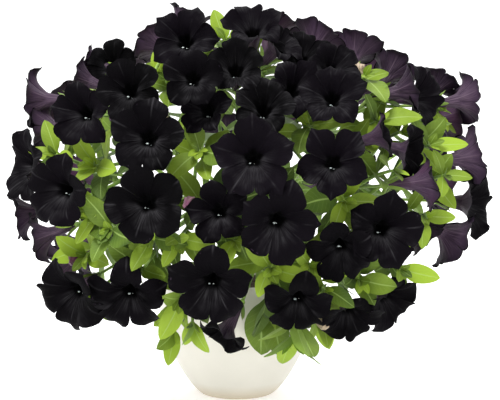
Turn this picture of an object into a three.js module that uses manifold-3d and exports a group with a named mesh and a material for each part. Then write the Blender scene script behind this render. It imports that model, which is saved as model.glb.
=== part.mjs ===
// A potted petunia: a cream bowl pot full of compost, leafy shoots, and a dome of near-black trumpet blooms.
// Millimetres, +Z up. The origin is the middle of the pot's foot. The viewer stands at -Y, so +X is to the right.

import * as THREE from 'three';
import { mergeVertices } from 'three/addons/utils/BufferGeometryUtils.js';
import Module from 'manifold-3d';

const wasm = await Module();
wasm.setup();

// Pot and compost
const POT_RIM_RADIUS = 60;
const POT_HEIGHT = 90;
const POT_FOOT_RADIUS = 27;
const POT_WALL = 4;
const POT_SIDES = 28;
const POT_FULL_HEIGHT = 83;
const POT_FOOT_ROUND = 0.8;
const POT_SIDE_ROUND = 1.9;
const POT_LEVELS = [0, 1.8, 6.3, 14.4, 27, 43, 63, POT_HEIGHT];
const COMPOST_TOP = 80;
const COMPOST_CROWN = 2;
const INNER_LEVELS = [POT_WALL, 14.4, 43, COMPOST_TOP, POT_HEIGHT];
const COMPOST_SIDES = 16;
const COMPOST_CLEARANCE = 1;
const GAP = 0.3;
const FOOT_GAP = 0.6;
const FOLD_GAP = 0.02;
const MERGED = 1e-3;

// Shoots: one in each of SHOOTS equal wedges round the pot's axis, so that no two cross
const SHOOTS = 6;
const WEDGE_TURN = (2 * Math.PI) / SHOOTS;
const WEDGE_START = 47;
const WEDGE_MARGIN = 2.5;
const WEDGE_TIP = 10;
const STEM_RADIUS = 3;
const STEM_SIDES = 5;
const STEM_STEPS = 5;
const STEM_CIRCLE = 24;
const STEM_TOP_CIRCLE = 34;
const STEM_TOP = 150;
const STEM_BEND_HEIGHT = 120;
const STEM_DEPTH = 28;
const STEM_HOLE_RADIUS = 5;
const STEM_HOLE_SIDES = 6;
const STEM_FORKS = [0.42, 0.5, 0.58, 0.66, 0.74, 0.82, 0.9, 0.98];
const TWIG_RADIUS = 1.7;
const TWIG_START_RADIUS = 0.8;
const TWIG_BEND = 0.4;
const TWIG_FORKS = [0.47, 0.54, 0.76, 0.84];
const FORK_BACK = 24;
const FORK_STEP = 16;
const FORK_PULL = 0.8;
const TIP_DEPTHS = [0, 8, 16, 24];

// Ways to bend a branch, the best first: back along its end's axis as a share of its run, sideways, and up
const BENDS = [
  [0.45, 0, 0],
  [0.45, 0, 14],
  [0.45, 0, -14],
  [0.7, 0, 0],
  [0.25, 0, 0],
  [0.45, 14, 0],
  [0.45, -14, 0],
  [0.7, 12, 12],
  [0.7, -12, -12],
  [0.3, 16, -10],
  [0.3, -16, 10],
  [0.3, 10, 22],
  [0.3, -10, -22],
  [0.6, 24, 0],
  [0.6, -24, 0],
  [0.5, 0, 30],
  [0.5, 0, -30],
  [0.9, 0, 0],
  [0.15, 0, 0],
  [0.2, 26, -14],
  [0.2, -26, 14],
];

// Blooms: a narrow tube that flares into a limb of five joined lobes. Sizes in pairs: at no width, and per width.
const LOBES = 5;
const LOBE_TURN = (2 * Math.PI) / LOBES;
const RIM_TURN = LOBE_TURN / 3;
const TUBE_LENGTH = [14, 0.19];
const LIMB_HEIGHT = [6, 0.13];
const THROAT_RADIUS = [2, 0.075];
const TUBE_END_RADIUS = 1.8;
const PETAL_THICK = 1.3;
const MIDDLE_SHARE = 0.45;
const PIT_SHARE = 0.5;
const NOTCH_SHARE = 0.8;
const STAR_NOTCH = 0.25;
const LOBE_POINT = 0.04;
const LOBE_POINT_TURN = 0.08;
const LOBE_REACH = [0.9, 1.06];
const FLARE_ROUND = 1.8;
const CURL = [0.02, 0.3];
const STAR_CURL = 0.3;
const WAVE = [0.02, 0.06];

// Leaves: they stand in whorls of three, out of the sides of a three-cornered twig
const LEAF_THICK = 1.1;
const LEAF_FOLD = 0.22;
const LEAF_DROOP = 0.16;
const LEAF_SPREAD = 56;
const BRANCH_LEAF = 35;
const PLAIN_LEAF = [[0.42, 1]];
const ROUND_LEAF = [[0.34, 0.94], [0.7, 0.76]];
const LEAF_STALK = 4;
const LEAF_WIDTH = [0.46, 0.58];
const LEAF_SIZE = [0.8, 1.15];
const LEAF_TURN = 12;
const LEAF_TILT = 0.2;
const LEAF_LIFT = 0.35;
const LEAF_ROOM = 0.4;
const LEAF_TRIES = [[1, 0], [0.85, -14], [0.7, 12]];
const LEAF_SEED = 6;
const WHORL_STEP = 3.5;
const WHORL_TWIST = 60;
const TIP_WHORLS = [[0.7, PLAIN_LEAF], [1, ROUND_LEAF]];
const INNER_WHORL = [0.62, PLAIN_LEAF];
const OUTER_WHORL = [1, PLAIN_LEAF];
const LONG_BRANCH = 70;
const FEWEST_LEAVES = 3;

const degrees = THREE.MathUtils.degToRad;
const vec = (x, y, z) => new THREE.Vector3(x, y, z);

// Blooms that face the viewer's side: [across, toward the viewer, up, width, turned right, tilted up, roll], and how
// deep a star's notches are cut, from 0 to 1
const FRONT_BLOOMS = [
  [-59, 140, 208, 52, -6, 12, 10],
  [-60, 148, 165, 57, -4, 3, 36],
  [12, 158, 197, 56, 0, 8, 20],
  [28, 157, 155, 57, 3, -10, 0],
  [-11, 145, 159, 46, -8, 2, 30, 0.4],
  [-16, 150, 112, 59, -4, -14, 14, 0.3],
  [43, 134, 97, 51, 2, -28, 8, 0.6],
  [-6, 102, 70, 40, -48, -50, 0, 0.5],
  [66, 146, 192, 50, 0, 8, 50, 0.2],
  [66, 131, 234, 46, -5, 25, 22],
  [100, 130, 145, 55, 8, 0, 4],
  [72, 134, 134, 46, -5, -22, 30, 0.3],
  [-29, 132, 248, 42, 0, 14, 12],
  [-72, 128, 239, 46, -5, 16, 40],
  [-35, 100, 271, 46, -6, 22, 0],
  [-104, 108, 222, 46, -24, 8, 26],
  [-119, 108, 169, 54, -30, 0, 6],
  [-74, 116, 98, 57, -6, -22, 18, 0.8],
  [-112, 104, 97, 58, -36, -18, 44, 0.3],
  [0, 118, 252, 42, 0, 40, 20],
  [12, 82, 276, 45, 0, 52, 30],
  [27, 88, 265, 36, 50, 45, 10],
  [56, 45, 264, 46, 150, 50, 0, 0.3],
  [85, 32, 256, 42, 172, 45, 24],
  [111, 22, 241, 42, 140, 35, 50],
  [116, 66, 234, 40, 94, 12, 12],
  [128, 52, 228, 44, 55, 8, 36],
  [163, 20, 223, 43, 112, 5, 4, 0.2],
  [162, 44, 183, 46, 115, 3, 22, 0.2],
  [167, 34, 149, 54, 62, 0, 48],
  [150, 60, 131, 50, 100, -35, 10],
  [128, 70, 137, 42, 110, -35, 34, 0.2],
  [126, 96, 172, 42, 104, 2, 16, 0.2],
  [96, 106, 205, 34, 85, 15, 0],
  [117, 84, 194, 38, 60, -10, 28],
  [106, 84, 89, 50, 42, -25, 40, 0.3],
  [79, 100, 82, 46, 15, -40, 12, 0.3],
  [19, 134, 226, 42, 0, 30, 6],
  [39, 112, 238, 42, 20, 30, 46],
  [-19, 122, 225, 38, -20, 20, 20],
  [-139, 36, 225, 46, -97, 0, 32, 0.2],
  [-107, 42, 239, 34, -100, 20, 8],
  [-100, 26, 249, 30, -100, 8, 30],
  [-90, 30, 248, 38, -10, 30, 14],
  [-53, 58, 265, 40, -130, 30, 42],
  [-39, 80, 284, 26, 110, 60, 0, 0.3],
  [-145, 56, 178, 52, -60, 5, 24],
  [-149, 46, 144, 42, -95, -15, 38],
  [-135, 60, 130, 40, -95, -20, 2, 0.2],
  [146, 4, 229, 36, 150, 40, 26],
  [151, 2, 208, 42, 110, 0, 12],
  [-133, 40, 205, 36, -110, 0, 48],
  [66, 92, 250, 40, 20, 35, 34],
  [46, 78, 257, 40, 20, 45, 6],
];

// The dome that the blooms fill. Pairs of blooms take the places on a golden spiral that the table leaves empty.
const DOME_MIDDLE = vec(8, 0, 155);
const DOME_REACH = vec(160, 150, 112);
const FILL_PLACES = 140;
const FILL_DEPTH = 1.5;
const FILL_INSET = [0.94, 1];
const FILL_WIDTH = [44, 54];
const FILL_TILT = 65;
const PAIR_TURN = 0.4;
const FILL_ROOM = 62;
const FILL_FROM = 10;
const FILL_SEED = 42;
const PAIR_APART = 34;
const GOLDEN_TURN = 137.508;

// Leafy shoot tips between the blooms: [across, toward the viewer, up, turned right, tilted up, leaf length], and how
// far its leaves spread where they hang
const LEAFY_TIPS = [
  [-8, 48, 270, -10, 40, 30],
  [-50, 82, 244, -20, 35, 28],
  [-99, 100, 185, -25, 10, 30],
  [-99, 108, 151, -20, 0, 32],
  [-88, 114, 141, -20, -5, 30],
  [-59, 128, 137, -15, -5, 30],
  [-107, 94, 120, -25, -10, 32],
  [-40, 134, 138, -10, -5, 32],
  [-25, 128, 199, -5, 15, 30],
  [-1, 140, 138, 0, -5, 28],
  [92, 62, 245, 25, 35, 34],
  [51, 116, 215, 10, 25, 26],
  [90, 108, 204, 20, 20, 30],
  [111, 104, 182, 20, 10, 32],
  [138, 72, 196, 30, 15, 32],
  [75, 128, 164, 15, 5, 30],
  [24, 134, 117, 5, -10, 32],
  [51, 130, 119, 10, -10, 28],
  [62, 118, 100, 10, -20, 28],
  [-39, 114, 92, -10, -20, 32],
  [-44, 89, 64, -9, -45, 29, 26],
  [-31, 100, 72, 0, -62, 28, 27],
  [6, 95, 79, -16, -67, 44, 31],
  [23, 84, 78, -9, -61, 45, 25],
  [40, 108, 63, -32, -83, 36, 40],
  [59, 78, 76, 19, -56, 34, 34],
  [80, 78, 79, -17, -40, 48, 53],
  [116, 94, 110, 25, -15, 28],
  [143, 70, 116, 30, -10, 26],
  [-136, 40, 205, -35, 20, 24],
  [-130, 68, 189, -30, 15, 26],
  [87, 110, 105, 20, -15, 28],
  [149, 70, 174, 30, 10, 26],
  [149, 24, 217, 40, 25, 24],
  [100, 80, 214, 25, 20, 30],
  [118, 74, 206, 35, 10, 28],
  [134, 82, 146, 35, 0, 26],
  [-66, 112, 112, -15, -20, 28],
  [-98, 88, 92, -25, -30, 26],
];

// Wilted blooms: [across, toward the viewer, up, length, turned right, tilted up, width]
const SPENT_SEED = 301;
const SPENT_SIDES = 6;
const SPENT_RINGS = [[-1, 0.3], [-0.55, 0.36], [-0.2, 1], [0, 0.75]];
const SPENT_CREASE = [0.75, 1.2];
const SPENT_POINT = 0.12;
const SPENT_BLOOMS = [
  [-33, 136, 164, 22, -20, 10, 10],
  [-51, 112, 224, 20, -10, 40, 8],
  [88, 60, 252, 18, 10, 50, 9],
  [-116, 92, 116, 24, -40, -10, 12],
  [80, 120, 137, 22, 10, 10, 9],
  [62, 110, 72, 24, 20, -50, 8],
];

// Random numbers that come out the same every run
function draws(seed) {
  let state = seed * 7919 + 17;
  return (low, high) => {
    state = (state * 16807) % 2147483647;
    return low + ((high - low) * state) / 2147483647;
  };
}

// A closed solid from a geometry whose corners meet
function solid(geometry, tolerance = 1e-4) {
  const bare = new THREE.BufferGeometry().setAttribute('position', geometry.getAttribute('position'));
  bare.setIndex(geometry.index);
  const merged = mergeVertices(bare, tolerance);
  const mesh = new wasm.Mesh({
    numProp: 3,
    vertProperties: new Float32Array(merged.attributes.position.array),
    triVerts: new Uint32Array(merged.index.array),
  });
  return new wasm.Manifold(mesh);
}

// A solid from corner points and the faces between them, each face a fan of three or more corners
function solidOfFaces(points, faces) {
  const corners = faces.flatMap((face) => face.slice(2).flatMap((_, k) => [face[0], face[k + 1], face[k + 2]]));
  const geometry = new THREE.BufferGeometry().setFromPoints(points);
  geometry.setIndex(corners);
  return solid(geometry);
}

// A solid turned about Z from a profile of [radius, height] points that closes on itself or on the axis
function turned(profile, sides) {
  const lathe = new THREE.LatheGeometry(profile.map(([r, z]) => new THREE.Vector2(r, z)), sides);
  lathe.rotateX(Math.PI / 2);
  return solid(lathe);
}

// A tube along a curve
function tube(curve, radius, sides, steps) {
  const section = new THREE.Shape();
  for (let k = 0; k < sides; k += 1) {
    const turn = (2 * Math.PI * k) / sides;
    const place = [radius * Math.cos(turn), radius * Math.sin(turn)];
    if (k) section.lineTo(...place);
    else section.moveTo(...place);
  }
  return solid(new THREE.ExtrudeGeometry(section, { steps, extrudePath: curve }));
}

// Pot: the outside rises from a narrow foot to an upright rim
function potRadius(height) {
  const left = 1 - Math.min(1, height / POT_FULL_HEIGHT);
  return POT_FOOT_RADIUS + (POT_RIM_RADIUS - POT_FOOT_RADIUS) * (1 - left ** POT_SIDE_ROUND) ** POT_FOOT_ROUND;
}

function potSolid() {
  const outside = POT_LEVELS.map((z) => [potRadius(z), z]);
  const inside = INNER_LEVELS.map((z) => [potRadius(z) - POT_WALL, z]);
  return turned([[0, 0], ...outside, ...inside.reverse(), [0, POT_WALL]], POT_SIDES);
}

// Compost: fills the pot up to COMPOST_TOP, with a plain hole for each stem
function compostSolid(shoots) {
  const levels = [POT_WALL + GAP, ...INNER_LEVELS.slice(1, -1)];
  const side = levels.map((z) => [potRadius(z) - POT_WALL - COMPOST_CLEARANCE, z]);
  const holes = shoots.map(({ stem }) => {
    const hole = new THREE.CylinderGeometry(STEM_HOLE_RADIUS, STEM_HOLE_RADIUS, 2 * STEM_DEPTH, STEM_HOLE_SIDES);
    hole.rotateX(Math.PI / 2);
    hole.translate(stem.v0.x, stem.v0.y, stem.v0.z - GAP + STEM_DEPTH);
    return solid(hole);
  });
  const whole = turned([[0, levels[0]], ...side, [0, COMPOST_TOP + COMPOST_CROWN]], COMPOST_SIDES);
  return holes.reduce((left, hole) => left.subtract(hole), whole);
}

// The way that something faces: turned right of the viewer and tilted up, in degrees
function facing(turn, tilt) {
  const [t, e] = [degrees(turn), degrees(tilt)];
  const axis = vec(Math.sin(t) * Math.cos(e), -Math.cos(t) * Math.cos(e), Math.sin(e));
  const right = vec(Math.cos(t), Math.sin(t), 0);
  return { axis, right, upward: axis.clone().cross(right) };
}

// Rows for the pairs of blooms that fill the rest of the dome
function fillingRows(rows) {
  const draw = draws(FILL_SEED);
  const filled = [...rows];
  for (let k = 0; k < FILL_PLACES; k += 1) {
    const rise = 1 - (FILL_DEPTH * (k + 0.5)) / FILL_PLACES;
    const turn = k * GOLDEN_TURN;
    const ring = Math.sqrt(1 - rise ** 2) * draw(...FILL_INSET);
    const across = DOME_MIDDLE.x + DOME_REACH.x * ring * Math.sin(degrees(turn));
    const toward = DOME_REACH.y * ring * Math.cos(degrees(turn));
    const up = DOME_MIDDLE.z + DOME_REACH.z * rise;
    const lean = degrees(draw(0, 180));
    const tilt = FILL_TILT * rise;
    const { right, upward } = facing(turn, tilt);
    const pair = [-1, 1].map((end) => {
      const [aside, above] = [(end * PAIR_APART * Math.cos(lean)) / 2, (end * PAIR_APART * Math.sin(lean)) / 2];
      const place = vec(across, -toward, up).addScaledVector(right, aside).addScaledVector(upward, above);
      const facingRight = turn + PAIR_TURN * aside + draw(-9, 9);
      const facingUp = tilt + PAIR_TURN * above + draw(-8, 8);
      return [place.x, -place.y, place.z, draw(...FILL_WIDTH), facingRight, facingUp, draw(0, 72)];
    });
    const near = filled.some(([x, y, z]) => vec(x, y, z).distanceTo(vec(across, toward, up)) < FILL_ROOM);
    if (!near && toward < FILL_FROM) filled.push(...pair);
  }
  return filled.slice(rows.length);
}

function bloomOf([across, toward, up, wide, turn, tilt, roll, star = 0], index) {
  const draw = draws(index + 1);
  const sized = ([least, share]) => least + share * wide;
  const { axis, right, upward } = facing(turn, tilt);
  const throat = vec(across, -toward, up);
  const length = sized(TUBE_LENGTH);
  return {
    throat,
    axis,
    right,
    upward,
    roll: degrees(roll),
    reach: wide / 2,
    notch: NOTCH_SHARE - STAR_NOTCH * star,
    height: sized(LIMB_HEIGHT),
    throatRadius: sized(THROAT_RADIUS),
    length,
    foot: throat.clone().addScaledVector(axis, -length),
    curls: Array.from({ length: LOBES }, () => (draw(...CURL) + STAR_CURL * star) * (wide / 2)),
    wave: draw(...WAVE) * wide,
    wavePlace: draw(0, 2 * Math.PI),
    lobes: Array.from({ length: LOBES }, () => draw(...LOBE_REACH)),
  };
}

// The lobe at an angle, and how far off its middle the angle is
function lobeAt(angle) {
  const turns = Math.round(angle / LOBE_TURN);
  return { lobe: ((turns % LOBES) + LOBES) % LOBES, off: angle - LOBE_TURN * turns };
}

// How far the limb reaches at an angle: lobes round off at the notches between them and have a small point
function rimReach(bloom, angle) {
  const { lobe, off } = lobeAt(angle);
  const round = Math.sqrt(Math.max(0, Math.cos((off / LOBE_TURN) * Math.PI)));
  const point = LOBE_POINT * Math.exp(-((off / LOBE_POINT_TURN) ** 2));
  return bloom.reach * (bloom.notch + (bloom.lobes[lobe] - bloom.notch) * round + point);
}

function bloomPoint(bloom, reach, angle, along) {
  return bloom.throat
    .clone()
    .addScaledVector(bloom.right, reach * Math.cos(angle + bloom.roll))
    .addScaledVector(bloom.upward, reach * Math.sin(angle + bloom.roll))
    .addScaledVector(bloom.axis, along);
}

// A point of the limb: share runs from 0 at the throat to 1 at the rim, and aside is half the petal's thickness
function limbPoint(bloom, share, angle, aside = 0) {
  const { lobe, off } = lobeAt(angle);
  const reach = bloom.throatRadius + (rimReach(bloom, angle) - bloom.throatRadius) * share;
  const flare = bloom.height * (1 - (1 - share) ** FLARE_ROUND);
  const curl = bloom.curls[lobe] * share ** 3 * Math.cos((off / LOBE_TURN) * Math.PI) ** 2;
  const wave = bloom.wave * share ** 2 * Math.sin(3 * angle + bloom.wavePlace);
  return bloomPoint(bloom, reach, angle, flare - curl + wave + aside);
}

function bloomSolid(bloom) {
  const seam = (k) => LOBE_TURN * (k - 0.5);
  const ring = (make) => Array.from({ length: LOBES }, (_, k) => make(seam(k)));
  const half = PETAL_THICK / 2;
  const points = [
    ...ring((a) => bloomPoint(bloom, TUBE_END_RADIUS, a, -bloom.length)),
    ...ring((a) => bloomPoint(bloom, bloom.throatRadius + half, a, 0)),
    ...ring((a) => limbPoint(bloom, MIDDLE_SHARE, a, -half)),
    ...ring((a) => bloomPoint(bloom, bloom.throatRadius - half, a, 0)),
    ...ring((a) => limbPoint(bloom, MIDDLE_SHARE, a, half)),
    ...[0, 1, 2].flatMap((k) => ring((a) => limbPoint(bloom, 1, a + k * RIM_TURN))),
    bloomPoint(bloom, 0, 0, -bloom.length * PIT_SHARE),
  ];
  const [foot, throatBack, middleBack, throatFace, middleFace, notch, left, right, pit] = [...Array(9).keys()].map(
    (k) => k * LOBES,
  );
  const faces = [[foot + 4, foot + 3, foot + 2, foot + 1, foot]];
  for (let k = 0; k < LOBES; k += 1) {
    const n = (k + 1) % LOBES;
    faces.push([foot + k, foot + n, throatBack + n, throatBack + k]);
    faces.push([throatBack + k, throatBack + n, middleBack + n, middleBack + k]);
    faces.push([middleBack + k, left + k, notch + k], [middleBack + n, notch + n, right + k]);
    faces.push([middleBack + k, middleBack + n, right + k, left + k]);
    faces.push([throatFace + k, middleFace + k, middleFace + n, throatFace + n]);
    faces.push([middleFace + k, notch + k, left + k], [middleFace + n, right + k, notch + n]);
    faces.push([middleFace + k, left + k, right + k, middleFace + n]);
    faces.push([throatFace + k, throatFace + n, pit]);
  }
  return solidOfFaces(points, faces);
}

// Shoots: a stem in the middle of each wedge, with branches that stay in the wedge
function shootOf(_, index) {
  const turn = degrees(WEDGE_START) + (index + 0.5) * WEDGE_TURN;
  const out = vec(Math.sin(turn), -Math.cos(turn), 0);
  const place = (radius, height) => out.clone().multiplyScalar(radius).setZ(height);
  const stem = new THREE.QuadraticBezierCurve3(
    place(STEM_CIRCLE, COMPOST_TOP - STEM_DEPTH),
    place(STEM_CIRCLE, STEM_BEND_HEIGHT),
    place(STEM_TOP_CIRCLE, STEM_TOP),
  );
  const forks = STEM_FORKS.map((share) => ({ place: stem.getPoint(share), onStem: true }));
  return { out, aside: vec(-out.y, out.x, 0), stem, forks, twigs: [], ways: [] };
}

function shootAt(shoots, place) {
  const turn = (Math.atan2(place.x, -place.y) - degrees(WEDGE_START)) / WEDGE_TURN;
  return shoots[Math.floor(turn + SHOOTS) % SHOOTS];
}

function keptInWedge(shoot, place) {
  const along = Math.max(WEDGE_TIP, place.dot(shoot.out));
  const room = along * Math.tan(WEDGE_TURN / 2) - WEDGE_MARGIN;
  const across = THREE.MathUtils.clamp(place.dot(shoot.aside), -room, room);
  return vec(0, 0, place.z).addScaledVector(shoot.out, along).addScaledVector(shoot.aside, across);
}

// A branch forks off the wood behind its end, and comes to its end along the end's axis, bent by one of BENDS
function forkFor(shoot, end, axis) {
  const goal = end.clone().addScaledVector(axis, -FORK_BACK);
  const far = goal.distanceTo(shoot.stem.v2) - FORK_STEP;
  const behind = shoot.forks.filter(({ place, onStem }) => onStem || place.distanceTo(shoot.stem.v2) < far);
  const cost = ({ place }) => place.distanceTo(goal) - FORK_PULL * goal.clone().sub(place).dot(axis);
  return behind.reduce((best, fork) => (cost(fork) < cost(best) ? fork : best));
}

function branchLine(shoot, start, end, axis, [back, sideways, rise]) {
  const middle = end
    .clone()
    .addScaledVector(axis, -back * start.distanceTo(end))
    .addScaledVector(shoot.aside, sideways)
    .add(vec(0, 0, rise));
  return new THREE.QuadraticBezierCurve3(start, keptInWedge(shoot, middle), end);
}

// Solids that might touch are found by their boxes first
function keep(body) {
  const { min, max } = body.boundingBox();
  return { body, box: new THREE.Box3(vec(...min), vec(...max)) };
}

function isClear(kept, others) {
  return others.every((other) => !kept.box.intersectsBox(other.box) || kept.body.intersect(other.body).isEmpty());
}

// Stations along a twig: its start, where it bends, two close ones for each whorl of leaves, and its end
function stationsOf(line, whorls) {
  const step = WHORL_STEP / line.v0.distanceTo(line.v2);
  const stations = [{ share: 0, twist: 0 }, { share: TWIG_BEND, twist: 0 }];
  whorls.forEach(([share, sections], k) => {
    const twist = k * WHORL_TWIST;
    stations.push({ share: Math.min(share, 1 - step), twist, sections });
    if (share < 1) stations.push({ share: share + step, twist, closing: true });
  });
  stations.push({ share: 1, twist: Math.max(0, whorls.length - 1) * WHORL_TWIST });
  return stations;
}

// A point on the straight stretches of a twig, where another can fork off it
function onTwig({ line, stations }, share) {
  const shares = stations.filter(({ closing }) => !closing).map((station) => station.share);
  const after = shares.findIndex((each) => each > share);
  const [low, high] = [shares[after - 1], shares[after]];
  return line.getPoint(low).lerp(line.getPoint(high), (share - low) / (high - low));
}

// The frames of a twig's stations turn as little as they can from one to the next
function framesOf(line, stations) {
  let before = vec(0, 0, 1).cross(line.getTangent(0));
  return stations.map(({ share, twist }) => {
    const along = line.getTangent(share);
    const level = before.clone().addScaledVector(along, -before.dot(along)).normalize();
    const other = along.clone().cross(level);
    before = level;
    const toward = (turn) =>
      level
        .clone()
        .multiplyScalar(Math.cos(degrees(turn + twist)))
        .addScaledVector(other, Math.sin(degrees(turn + twist)));
    return { place: line.getPoint(share), along, toward };
  });
}

// A whorl has a leaf on each side of the twig, which turns its upper face to the twig's tip and up. Each leaf comes as
// a list of tries, one for each of LEAF_TRIES: [share of its length, degrees further open].
function leavesOf(frame, { length, spread }, sections, draw) {
  return [0, 1, 2].map((side) => {
    const turn = draw(-LEAF_TURN, LEAF_TURN);
    const tilt = vec(draw(-LEAF_TILT, LEAF_TILT), draw(-LEAF_TILT, LEAF_TILT), LEAF_LIFT);
    const size = length * draw(...LEAF_SIZE);
    const breadth = draw(...LEAF_WIDTH);
    return LEAF_TRIES.map(([share, further]) => {
      const open = degrees(spread + turn + further);
      const along = frame
        .toward(120 * side + 60)
        .multiplyScalar(Math.sin(open))
        .addScaledVector(frame.along, Math.cos(open));
      const upper = frame.along.clone().add(tilt);
      const normal = upper.addScaledVector(along, -upper.dot(along)).normalize();
      const wide = size * share * breadth;
      return { root: frame.place, along, normal, length: size * share, wide, sections };
    });
  });
}

// Points of a leaf: each section as lower rib, right edge, upper rib and left edge, and then the tip
function leafPoints({ root, along, normal, length, wide, sections }, extra = 0) {
  const right = normal.clone().cross(along);
  const place = (share, across, lift) =>
    root
      .clone()
      .addScaledVector(along, length * share)
      .addScaledVector(normal, -LEAF_DROOP * length * share ** 2 + LEAF_FOLD * Math.abs(across) + lift)
      .addScaledVector(right, across);
  const half = LEAF_THICK / 2 + extra;
  const rings = sections.flatMap(([share, breadth]) => {
    const edge = (breadth * wide) / 2 + extra;
    return [place(share, 0, -half), place(share, edge, 0), place(share, 0, half), place(share, -edge, 0)];
  });
  return [...rings, place(1, 0, 0)];
}

// Faces over a leaf whose points start at the given number, split alike on the upper and lower side
function leafFaces(first, { sections }) {
  const faces = [];
  for (let k = 0; k < sections.length - 1; k += 1) {
    const [b1, r1, u1, l1, b2, r2, u2, l2] = [...Array(8).keys()].map((j) => first + 4 * k + j);
    faces.push([b1, r1, r2], [b1, r2, b2], [l1, b1, l2], [b1, b2, l2]);
    faces.push([r1, u1, r2], [u1, u2, r2], [u1, l1, l2], [u1, l2, u2]);
  }
  const last = first + 4 * (sections.length - 1);
  const tip = last + 4;
  faces.push([last, last + 1, tip], [last + 1, last + 2, tip], [last + 2, last + 3, tip], [last + 3, last, tip]);
  return faces;
}

// A leaf by itself, from where its stalk ends, to find room for it
function leafSolid(leaf, extra = 0) {
  const points = leafPoints(leaf, extra);
  const stalk = points.length;
  const faces = [[1, 0, stalk], [2, 1, stalk], [3, 2, stalk], [0, 3, stalk], ...leafFaces(0, leaf)];
  return solidOfFaces([...points, leaf.root.clone().addScaledVector(leaf.along, LEAF_STALK)], faces);
}

// A three-cornered twig. The leaves it carries grow out of its sides: leaves[station][side] is a leaf or nothing.
function twigSolid({ line, stations, leaves = [] }) {
  const rings = framesOf(line, stations)
    .map((frame, k) => ({ ...frame, leaves: leaves[k] ?? [] }))
    .filter((_, k) => !stations[k].closing || leaves[k - 1]?.some(Boolean));
  const points = rings.flatMap(({ place, toward }, k) =>
    [0, 120, 240].map((turn) => place.clone().addScaledVector(toward(turn), k ? TWIG_RADIUS : TWIG_START_RADIUS)),
  );
  const end = points.length - 3;
  const faces = [[2, 1, 0], [end, end + 1, end + 2]];
  for (let k = 0; k < rings.length - 1; k += 1) {
    for (let side = 0; side < 3; side += 1) {
      const next = (side + 1) % 3;
      const patch = [3 * k + side, 3 * k + next, 3 * k + 3 + next, 3 * k + 3 + side];
      const leaf = rings[k].leaves[side];
      if (!leaf) {
        faces.push(patch);
        continue;
      }
      const first = points.length;
      points.push(...leafPoints(leaf));
      for (let j = 0; j < 4; j += 1) {
        const n = (j + 1) % 4;
        faces.push([patch[j], patch[n], first + j], [patch[n], first + n, first + j]);
      }
      faces.push(...leafFaces(first, leaf));
    }
  }
  return solidOfFaces(points, faces);
}

// Wilted blooms and buds: a short crumpled tube through SPENT_RINGS of [place along it, share of its width]
function crumpled([across, toward, up, length, turn, tilt, wide], index) {
  const draw = draws(SPENT_SEED + index);
  const { axis, right, upward } = facing(turn, tilt);
  const head = vec(across, -toward, up);
  const sides = [...Array(SPENT_SIDES).keys()];
  const points = SPENT_RINGS.flatMap(([along, reach]) =>
    sides.map((k) => {
      const angle = (2 * Math.PI * k) / SPENT_SIDES;
      const radius = (wide / 2) * reach * draw(...SPENT_CREASE);
      return head
        .clone()
        .addScaledVector(axis, along * length)
        .addScaledVector(right, radius * Math.cos(angle))
        .addScaledVector(upward, radius * Math.sin(angle));
    }),
  );
  const tip = points.length;
  points.push(head.clone().addScaledVector(axis, SPENT_POINT * length));
  const faces = [sides.toReversed()];
  for (const k of sides) {
    const n = (k + 1) % SPENT_SIDES;
    for (let low = 0; low < tip - SPENT_SIDES; low += SPENT_SIDES) {
      const high = low + SPENT_SIDES;
      faces.push([low + k, low + n, high + n], [low + k, high + n, high + k]);
    }
    faces.push([tip - SPENT_SIDES + k, tip - SPENT_SIDES + n, tip]);
  }
  return { axis, foot: head.clone().addScaledVector(axis, -length), body: solidOfFaces(points, faces) };
}

const root = new THREE.Group();

function geometryOf(body) {
  const { numProp, vertProperties, triVerts } = body.getMesh();
  const places = new Float32Array((vertProperties.length / numProp) * 3);
  for (let k = 0; k < places.length / 3; k += 1) {
    places.set(vertProperties.subarray(k * numProp, k * numProp + 3), 3 * k);
  }
  const geometry = new THREE.BufferGeometry();
  geometry.setAttribute('position', new THREE.BufferAttribute(places, 3));
  geometry.setIndex(new THREE.BufferAttribute(triVerts, 1));
  return geometry;
}

// Where two folds of one surface meet in a corner, each is drawn back a little
function drawFoldsApart(geometry) {
  geometry.computeVertexNormals();
  const { position, normal } = geometry.attributes;
  const corners = Map.groupBy([...Array(position.count).keys()], (k) =>
    [position.getX(k), position.getY(k), position.getZ(k)].join(),
  );
  for (const k of [...corners.values()].filter((meeting) => meeting.length > 1).flat()) {
    const inward = vec().fromBufferAttribute(normal, k).multiplyScalar(-FOLD_GAP);
    const corner = vec().fromBufferAttribute(position, k).add(inward);
    position.setXYZ(k, ...corner);
  }
  geometry.deleteAttribute('normal');
}

function addNode(name, body, colour, roughness) {
  const geometry = geometryOf(solid(geometryOf(body), MERGED));
  drawFoldsApart(geometry);
  const mesh = new THREE.Mesh(geometry, new THREE.MeshStandardMaterial({ color: colour, roughness }));
  mesh.name = name;
  root.add(mesh);
}

// Blooms first, then everything green finds its way between them
const rows = [...FRONT_BLOOMS, ...fillingRows(FRONT_BLOOMS)];
const blooms = rows.map(bloomOf);
const bloomBodies = blooms.map((bloom) => keep(bloomSolid(bloom)));
const spent = SPENT_BLOOMS.map(crumpled);
const shoots = Array.from({ length: SHOOTS }, shootOf);
const pot = keep(potSolid());
const compost = keep(compostSolid(shoots));
const obstacles = [...bloomBodies, ...spent.map(({ body }) => keep(body)), pot, compost];

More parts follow.
